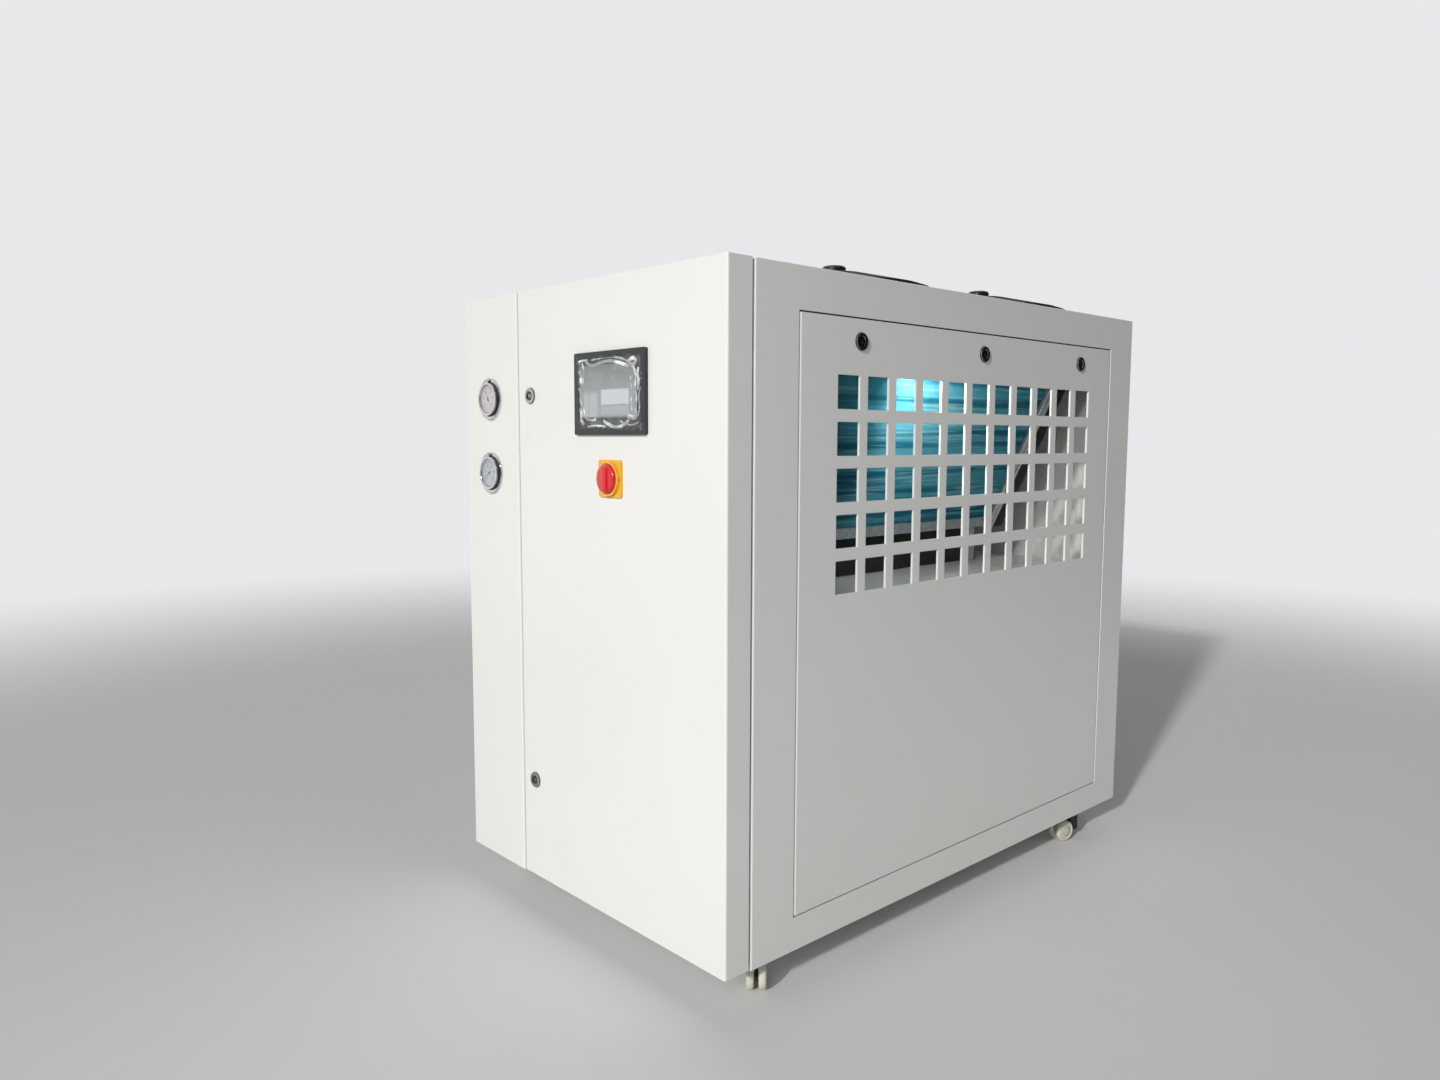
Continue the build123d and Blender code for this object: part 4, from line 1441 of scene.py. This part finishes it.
@dataclass
class ControlScreen:
    """Bezel, display glass and the loose film on it."""

    palette: Palette
    window: tuple[float, float] = (162.0 * MM, 95.0 * MM)
    window_shift: tuple[float, float] = (-5.0 * MM, 3.0 * MM)
    film_margin: float = 8.0 * MM

    # Folds of the film: thickness, then points across and up the face, from -1 to 1
    FOLDS = (
        (2.0, ((-0.70, 0.86), (-0.56, 0.72), (-0.30, 0.80), (0.05, 0.86), (0.40, 0.76), (0.62, 0.66))),
        (1.2, ((-0.52, 0.90), (-0.20, 0.96), (0.20, 0.94), (0.50, 0.86), (0.68, 0.74))),
        (2.6, ((0.60, 0.78), (0.72, 0.90), (0.84, 0.80), (0.74, 0.66), (0.62, 0.72))),
        (1.6, ((0.74, 0.70), (0.84, 0.40), (0.78, 0.12), (0.86, -0.20), (0.80, -0.50))),
        (2.2, ((0.90, 0.62), (0.84, 0.46), (0.92, 0.26), (0.86, 0.04))),
        (1.2, ((0.94, 0.10), (0.88, -0.14), (0.94, -0.40), (0.88, -0.62))),
        (2.2, ((-0.92, 0.62), (-0.84, 0.50), (-0.90, 0.36), (-0.84, 0.24))),
        (1.6, ((-0.94, 0.16), (-0.86, 0.02), (-0.92, -0.16), (-0.85, -0.30))),
        (2.4, ((-0.90, -0.40), (-0.84, -0.56), (-0.90, -0.70), (-0.78, -0.84))),
        (1.4, ((-0.82, 0.84), (-0.76, 0.62), (-0.82, 0.42), (-0.77, 0.22))),
        (1.4, ((-0.78, -0.40), (-0.76, -0.62), (-0.62, -0.74), (-0.40, -0.70))),
        (2.2, ((-0.16, -0.74), (0.02, -0.86), (0.26, -0.94), (0.48, -0.86), (0.62, -0.74))),
        (2.6, ((0.58, -0.62), (0.72, -0.70), (0.86, -0.64), (0.80, -0.52))),
        (1.2, ((-0.66, -0.90), (-0.36, -0.84), (-0.10, -0.90))),
        (1.4, ((-0.94, 0.88), (-0.80, 0.94), (-0.64, 0.90))),
        (1.0, ((0.36, -0.76), (0.52, -0.84), (0.74, -0.88), (0.88, -0.80))),
        (1.2, ((0.66, 0.40), (0.70, 0.10), (0.67, -0.20), (0.70, -0.48))),
    )

    def face(self) -> tuple[float, float, float, float, float]:
        """Front of the bezel: centre along X, Y of the face, centre along Z, width and height."""
        low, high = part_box("control_screen")
        return ((low[0] + high[0]) / 2, low[1], (low[2] + high[2]) / 2, high[0] - low[0], high[2] - low[2])

    def display(self) -> None:
        """Display glass in its own thin frame, in the bezel's recess."""
        x, y, z, _, _ = self.face()
        x += self.window_shift[0]
        z += self.window_shift[1]
        w, h = self.window[0] / 2, self.window[1] / 2
        glass = Bench.block("display_glass", (x - w, y + 0.7 * MM, z - h), (x + w, y + 1.4 * MM, z + h))
        hand_over(Bench.soften(glass, 0.3 * MM, 1), Body.DOOR.value, self.palette.display)
        rim = Bench.block("display_rim", (x - w - 3 * MM, y + 0.95 * MM, z - h - 3 * MM),
                          (x + w + 3 * MM, y + 1.45 * MM, z + h + 3 * MM))
        Bench.inset(rim, (0, -1, 0), 3 * MM, -0.2 * MM)
        hand_over(Bench.soften(rim, 0.12 * MM, 1), Body.DOOR.value, self.palette.black)

    def film(self) -> None:
        """Loose film over the face, slightly wavy."""
        x, y, z, width, height = self.face()
        half_w, half_h = width / 2 - self.film_margin, height / 2 - self.film_margin
        Bench.clear()
        bpy.ops.mesh.primitive_grid_add(x_subdivisions=90, y_subdivisions=64, size=1.0,
                                        rotation=(math.pi / 2, 0.0, 0.0), location=(x, y, z))
        sheet = bpy.context.active_object
        sheet.scale = (2 * half_w, 2 * half_h, 1.0)
        Bench.settle("screen_film")
        for vertex in sheet.data.vertices:
            u = (vertex.co.x - x - self.window_shift[0]) / (self.window[0] / 2)
            v = (vertex.co.z - z - self.window_shift[1]) / (self.window[1] / 2)
            out = min(1.0, max(0.0, (max(abs(u), abs(v)) - 1.0) / 0.12))
            fold = math.sin(u * 13 + 3 * math.sin(v * 7)) * math.cos(v * 17 + 4 * math.sin(u * 5))
            vertex.co.y += (0.45 + out * 0.35 * (fold - 1.0)) * MM
        Bench.pick(sheet)
        thick = sheet.modifiers.new("thickness", "SOLIDIFY")
        thick.thickness = 0.06 * MM
        bpy.ops.object.modifier_apply(modifier=thick.name)
        hand_over(Bench.smooth(sheet, 70.0), Body.DOOR.value, self.palette.film)

    def folds(self) -> None:
        """Raised folds of the film, in a near-white finish that paints their glints."""
        x, y, z, width, height = self.face()
        half_w, half_h = width / 2 - self.film_margin, height / 2 - self.film_margin
        pieces = []
        for thick, points in self.FOLDS:
            path = [(x + u * half_w, y + 0.55 * MM, z + v * half_h) for u, v in points]
            ridge = Bench.tube("fold", path, thick * 1.5 * MM, 2)
            for vertex in ridge.data.vertices:
                vertex.co.y = y + 0.55 * MM + (vertex.co.y - y - 0.55 * MM) * 0.25
            pieces.append(ridge)
        hand_over(Bench.smooth(Bench.join("screen_film_folds", pieces), 60.0), Body.DOOR.value,
                  self.palette.fold)

    def build(self, nodes: dict[str, bpy.types.Object]) -> None:
        """Make the screen's face.

        Args:
            nodes: the frame's nodes by name.
        """
        wear(nodes["control_screen"], self.palette.bezel)
        self.display()
        self.film()
        self.folds()


@dataclass
class Isolator:
    """Yellow plate and red knob of the main switch."""

    palette: Palette
    knob_radius: float = 26.2 * MM
    rim_proud: float = 12.0 * MM
    floor_proud: float = 4.6 * MM
    grip_width: float = 17.0 * MM
    dome: float = 15.0 * MM

    def knob(self, x: float, z: float, front: float, face: float) -> None:
        """Round knob with a domed face and a raised grip across it.

        Args:
            x: centre across.
            z: height of the centre.
            front: Y of the grip's front.
            face: Y of the door's face.
        """
        def turned(name: str, reach: float, radius: float) -> bpy.types.Object:
            """Disc from the knob's seat out to a distance from the door."""
            back = face - self.floor_proud
            return Bench.disc(name, (x, (back + face - reach) / 2, z), radius, reach - self.floor_proud,
                              Axis.Y, 72)

        body = turned("knob_body", self.dome, self.knob_radius)
        Bench.inset(body, (0, -1, 0), 5.0 * MM, 0.8 * MM)
        Bench.soften(body, 2.6 * MM, 4, 20.0)
        grip = Bench.block("knob_grip", (x - self.grip_width / 2, front + 0.2 * MM, z - 23.0 * MM),
                           (x + self.grip_width / 2, face - self.floor_proud - 1.0 * MM, z + 23.0 * MM))
        Bench.soften(grip, 2.8 * MM, 4)
        rim = Bench.hoop("knob_rim", (x, face - self.rim_proud, z), self.knob_radius - 0.8 * MM, 1.0 * MM,
                         Axis.Y, 72, 10)
        shaft = Bench.disc("knob_shaft", (x, face + 13.0 * MM, z), 6.0 * MM, 35.0 * MM, Axis.Y, 32)
        piece = Bench.smooth(Bench.join("isolator_knob_round", [body, grip, rim, shaft]), 40.0)
        hand_over(piece, Body.KNOB.value, self.palette.red, ["isolator_knob"])

    def build(self, nodes: dict[str, bpy.types.Object]) -> None:
        """Dress the switch and add its rims.

        Args:
            nodes: the frame's nodes by name.
        """
        wear(nodes["isolator_plate"], self.palette.yellow)
        low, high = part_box("isolator_plate")
        x, z = (low[0] + high[0]) / 2, (low[2] + high[2]) / 2
        knob_low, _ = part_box("isolator_knob")
        self.knob(x, z, knob_low[1], high[1])
        rim = Bench.hoop("collar_rim", (x, low[1] + 1.6 * MM, z), 29.2 * MM, 1.5 * MM, Axis.Y, 64, 10)
        hand_over(Bench.smooth(rim, 60.0), Body.DOOR.value, self.palette.orange)
        eye = Bench.disc("padlock_eye", (x + 28.5 * MM, low[1] + 5.0 * MM, z), 2.6 * MM, 6.0 * MM, Axis.X, 20)
        Bench.inset(eye, (1, 0, 0), 0.8 * MM, -1.0 * MM)
        hand_over(Bench.soften(eye, 0.3 * MM, 1), Body.DOOR.value, self.palette.black)


@dataclass
class Locks:
    """Quarter-turn locks on the door and the side panels."""

    palette: Palette
    radius: float = 15.0 * MM
    proud: float = 4.0 * MM

    def centres(self, name: str) -> list[tuple[Vector, Vector]]:
        """Place each lock from the box round its node.

        Args:
            name: node that holds the locks.

        Returns:
            Centre on the face and outward direction of each lock.
        """
        low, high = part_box(name)
        found = []
        if name == "door_locks":
            x = (low[0] + high[0]) / 2
            for z in (low[2] + self.radius, high[2] - self.radius):
                found.append((Vector((x, low[1], z)), Vector((0.0, -1.0, 0.0))))
            return found
        z = (low[2] + high[2]) / 2
        ys = (low[1] + self.radius, (low[1] + high[1]) / 2, high[1] - self.radius)
        for x, direction in ((high[0], 1.0), (low[0], -1.0)):
            found += [(Vector((x, y, z)), Vector((direction, 0.0, 0.0))) for y in ys]
        return found

    def rings(self, name: str, body: Body) -> None:
        """Rounded rims and dark cores of the locks of one node, and a black ring of painted shade round each.

        Args:
            name: node that holds the locks.
            body: body that carries them.
        """
        rims, cores = [], []
        for place, out in self.centres(name):
            axis = Axis.Y if abs(out.y) > 0.5 else Axis.X
            rims.append(Bench.hoop("lock_rim", place - out * 1.3 * MM, self.radius - 2.5 * MM, 1.3 * MM,
                                   axis, 40, 10))
            core = Bench.disc("lock_core", place - out * 1.9 * MM, 8.2 * MM, 1.2 * MM, axis, 32)
            Bench.inset(core, tuple(out), 2.2 * MM, 0.3 * MM)
            Bench.faces(core, lambda p: p.normal.dot(out) > 0.9 and len(p.vertices) > 4)
            bpy.ops.mesh.inset(thickness=2.4 * MM, depth=-0.9 * MM)
            Bench.done()
            cores.append(Bench.smooth(core))
            # A black ring round each lock, in the dark core finish: painted shade at the lock's edge.
            cores.append(Bench.hoop("lock_shade_ring", place - out * 3.0 * MM, self.radius + 0.1 * MM, 0.9 * MM,
                                    axis, 40, 8))
        hand_over(Bench.smooth(Bench.join(f"{name}_rims", rims), 60.0), body.value, self.palette.lock)
        hand_over(Bench.join(f"{name}_cores", cores), body.value, self.palette.core)

    def build(self, nodes: dict[str, bpy.types.Object]) -> None:
        """Make all locks.

        Args:
            nodes: the frame's nodes by name.
        """
        for name, body in (("door_locks", Body.DOOR), ("side_panel_locks", Body.CABINET)):
            wear(nodes[name], self.palette.lock)
            self.rings(name, body)


@dataclass
class Casters:
    """Twin-wheel casters with their hub caps and race rings."""

    palette: Palette
    joints: dict[str, dict]
    places: tuple[str, ...] = ("front_left", "front_right", "rear_left", "rear_right")
    wheel_radius: float = 25.0 * MM
    half_width: float = 18.0 * MM
    inner_width: float = 4.0 * MM
    cap_radius: float = 11.0 * MM
    tread_round: float = 5.0 * MM
    dial_shade_ring_radius: float = 18.5 * MM

    def wheel_pair(self, place: str) -> None:
        """Two wheels with rounded treads and grooved faces, their black hub caps and the axle.

        Args:
            place: name of the caster.
        """
        joint = self.joints[f"caster_{place}_roll"]
        centre, axis = Vector(joint["pos_m"]), Vector(joint["axis"]).normalized()
        turn = Vector((0.0, 1.0, 0.0)).rotation_difference(axis).to_matrix()
        wheels, caps = [], []
        width = self.half_width - self.inner_width
        for side in (-1.0, 1.0):
            middle = side * (self.inner_width + width / 2)
            wheel = Bench.disc("wheel", (0, middle, 0), self.wheel_radius, width, Axis.Y, 64)
            Bench.soften(wheel, self.tread_round, 5)
            Bench.faces(wheel, lambda p: p.normal.y * side > 0.9 and len(p.vertices) > 8)
            bpy.ops.mesh.inset(thickness=1.0 * MM, depth=0.0)
            bpy.ops.mesh.inset(thickness=1.6 * MM, depth=-1.4 * MM)
            bpy.ops.mesh.inset(thickness=1.6 * MM, depth=1.0 * MM)
            Bench.done()
            cap = Bench.disc("cap", (0, side * (self.half_width - 1.6 * MM), 0), self.cap_radius,
                             3.0 * MM, Axis.Y, 32)
            Bench.inset(cap, (0, side, 0), 3.0 * MM, -0.8 * MM)
            Bench.soften(cap, 0.7 * MM, 2)
            for pattern, pile in ((wheel, wheels), (cap, caps)):
                pile.append(Bench.copy(pattern, pattern.name, centre, turn))
                bpy.data.objects.remove(pattern)
        axle = Bench.disc("axle", (0, 0, 0), 4.0 * MM, 2 * self.inner_width + 2 * MM, Axis.Y, 24)
        wheels.append(Bench.copy(axle, "axle", centre, turn))
        bpy.data.objects.remove(axle)
        body = f"wheels_{place}"
        hand_over(Bench.smooth(Bench.join(f"wheel_pair_{place}", wheels)), body,
                  self.palette.nylon, [f"caster_wheels_{place}"])
        hand_over(Bench.join(f"hub_caps_{place}", caps), body, self.palette.black)

    def race(self, place: str) -> None:
        """Plated race ring at the top of a swivel.

        Args:
            place: name of the caster.
        """
        centre = Vector(self.joints[f"caster_{place}_swivel"]["pos_m"])
        ring = Bench.hoop(f"race_{place}", (centre.x, centre.y, 63.5 * MM), 19.4 * MM, 1.6 * MM, Axis.Z, 40, 8)
        hand_over(Bench.smooth(ring, 60.0), f"swivel_{place}", self.palette.steel)

    def build(self, nodes: dict[str, bpy.types.Object]) -> None:
        """Make all casters.

        Args:
            nodes: the frame's nodes by name.
        """
        for place in self.places:
            wear(nodes[f"caster_housing_{place}"], self.palette.black)
            self.wheel_pair(place)
            self.race(place)


@dataclass
class Connections:
    """Pipe sockets and cable gland on the rear."""

    palette: Palette
    threaded: tuple[str, ...] = ("water_inlet", "water_outlet", "drain_socket")

    def thread(self, name: str) -> None:
        """Thread rings in the mouth of a socket.

        Args:
            name: the socket's node.
        """
        low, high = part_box(name)
        bore = {"drain_socket": 8.6 * MM}.get(name, 16.6 * MM)
        x, z = (low[0] + high[0]) / 2, (low[2] + high[2]) / 2
        rings = [Bench.hoop("thread", (x, high[1] - (2 + 2.3 * i) * MM, z), bore, 0.7 * MM, Axis.Y, 40, 6)
                 for i in range(7)]
        hand_over(Bench.smooth(Bench.join(f"{name}_thread", rings), 60.0), Body.CABINET.value,
                  self.palette.brass)

    def build(self, nodes: dict[str, bpy.types.Object]) -> None:
        """Dress the connections.

        Args:
            nodes: the frame's nodes by name.
        """
        for name in self.threaded:
            wear(nodes[name], self.palette.brass)
            self.thread(name)
        wear(nodes["cable_gland"], self.palette.black)
        low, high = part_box("cable_gland")
        x, z = (low[0] + high[0]) / 2, (low[2] + high[2]) / 2
        ring = Bench.hoop("gland_nut_ring", (x, high[1] - 2 * MM, z), 10.4 * MM, 1.4 * MM, Axis.Y, 40, 8)
        hand_over(Bench.smooth(ring, 60.0), Body.CABINET.value, self.palette.black)


@dataclass(frozen=True)
class Lamp:
    """Soft rectangular lamp."""

    name: str
    place: tuple[float, float, float]
    target: tuple[float, float, float]
    size: tuple[float, float]
    power: float
    shiny: bool = False

    def build(self) -> None:
        """Hang the lamp and point it."""
        light = bpy.data.lights.new(self.name, "AREA")
        light.shape = "RECTANGLE"
        light.size, light.size_y = self.size
        light.energy = self.power
        lamp = bpy.data.objects.new(self.name, light)
        bpy.context.collection.objects.link(lamp)
        lamp.location = self.place
        way = Vector(self.place) - Vector(self.target)
        lamp.rotation_euler = way.to_track_quat("Z", "Y").to_euler()
        lamp.visible_camera = False
        lamp.visible_glossy = self.shiny


@dataclass
class Studio:
    """Floor, lights and camera."""

    camera_place: tuple[float, float, float] = (1.5940, -1.7673, 0.9621)
    azimuth: float = 47.48
    elevation: float = 5.556
    roll: float = 0.179
    lens: float = 25.704
    key_direction: tuple[float, float, float] = (0.30, -1.0, 0.44)
    key_strength: float = 2.2
    ambient: float = 0.20
    shine: float = 1.0

    LAMPS = (
        Lamp("fill_front", (1.5, -2.6, 1.5), (0.1, -0.6, 0.7), (1.0, 1.0), 16.0),
        Lamp("coil_right", (0.380, -0.13, 1.095), (0.30, 0.30, 0.86), (0.03, 0.08), 0.9),
        Lamp("coil_left", (-0.380, -0.13, 1.095), (-0.30, 0.30, 0.86), (0.03, 0.08), 0.9),
    )

    def floor(self) -> None:
        """Large pale floor."""
        Bench.clear()
        bpy.ops.mesh.primitive_circle_add(vertices=96, radius=60.0, fill_type="NGON", location=(0, 0, -0.0006))
        floor = Bench.settle("studio_floor")
        wear(floor, StudioFloor().make())

    def lights(self) -> None:
        """Broad key light from the front, and an even surround."""
        sun = bpy.data.lights.new("key", "SUN")
        sun.energy = self.key_strength
        sun.angle = math.radians(3.0)
        sun.color = (1.0, 0.985, 0.955)
        lamp = bpy.data.objects.new("key", sun)
        bpy.context.collection.objects.link(lamp)
        lamp.rotation_euler = Vector(self.key_direction).to_track_quat("Z", "Y").to_euler()
        world = bpy.data.worlds.new("surround")
        bpy.context.scene.world = world
        world.use_nodes = True
        world.node_tree.nodes.clear()
        g = Graph(world.node_tree)
        path = "ShaderNodeLightPath"
        seen = g.node(path, {}, "Is Camera Ray") + g.node(path, {}, "Is Transmission Ray")
        mirrored = g.node(path, {}, "Is Glossy Ray")
        way = g.node("ShaderNodeTexCoord", {}, "Generated")
        east = g.node("ShaderNodeSeparateXYZ", {0: way}, 0)
        north = g.node("ShaderNodeSeparateXYZ", {0: way}, 1)
        height = g.node("ShaderNodeSeparateXYZ", {0: way}, 2)
        dark = east.ramp(-0.20, 0.25) * height.ramp(0.95, 0.75)
        room = g.blend(dark, (1.0, 1.0, 1.0), (0.015, 0.015, 0.017))
        room = g.blend(north.ramp(-0.55, -0.9) * 0.7, room, (0.10, 0.10, 0.10))
        back = "ShaderNodeBackground"
        soft = g.node(back, {0: (0.93, 0.96, 1.0), 1: self.ambient})
        shine = g.node(back, {0: room, 1: self.shine})
        pale = g.node(back, {0: (0.80, 0.81, 0.83), 1: 1.0})
        light = g.node("ShaderNodeMixShader", {0: mirrored, 1: soft, 2: shine})
        light = g.node("ShaderNodeMixShader", {0: seen, 1: light, 2: pale})
        g.node("ShaderNodeOutputWorld", {0: light}, None)
        for lamp in self.LAMPS:
            lamp.build()

    def camera(self) -> None:
        """Camera at the photograph's place and angle."""
        data = bpy.data.cameras.new("view")
        data.lens = self.lens
        data.sensor_width = 36.0
        data.clip_end = 200.0
        eye = bpy.data.objects.new("view", data)
        bpy.context.collection.objects.link(eye)
        turn = (Matrix.Rotation(math.radians(self.azimuth), 3, "Z")
                @ Matrix.Rotation(math.radians(90.0 - self.elevation), 3, "X")
                @ Matrix.Rotation(math.radians(self.roll), 3, "Z"))
        eye.matrix_world = Matrix.Translation(self.camera_place) @ turn.to_4x4()
        bpy.context.scene.camera = eye

    def build(self) -> None:
        """Set the stage."""
        self.floor()
        self.lights()
        self.camera()
        bpy.context.scene.view_settings.view_transform = "Standard"


def main() -> None:
    """Build the scene round the frame."""
    logging.basicConfig(level=logging.INFO, format="%(name)s: %(message)s")
    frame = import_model()
    nodes = frame["nodes"]
    joints = {joint["name"]: joint for joint in frame["joints"]}
    palette = Palette()
    for assembly in (Cabinet(palette), Fans(palette), Coils(palette), Gauges(palette),
                     ControlScreen(palette), Isolator(palette), Locks(palette),
                     Casters(palette, joints), Connections(palette)):
        assembly.build(nodes)
        log.info("%s is built", type(assembly).__name__)
    Studio().build()


if __name__ == "__main__":
    main()
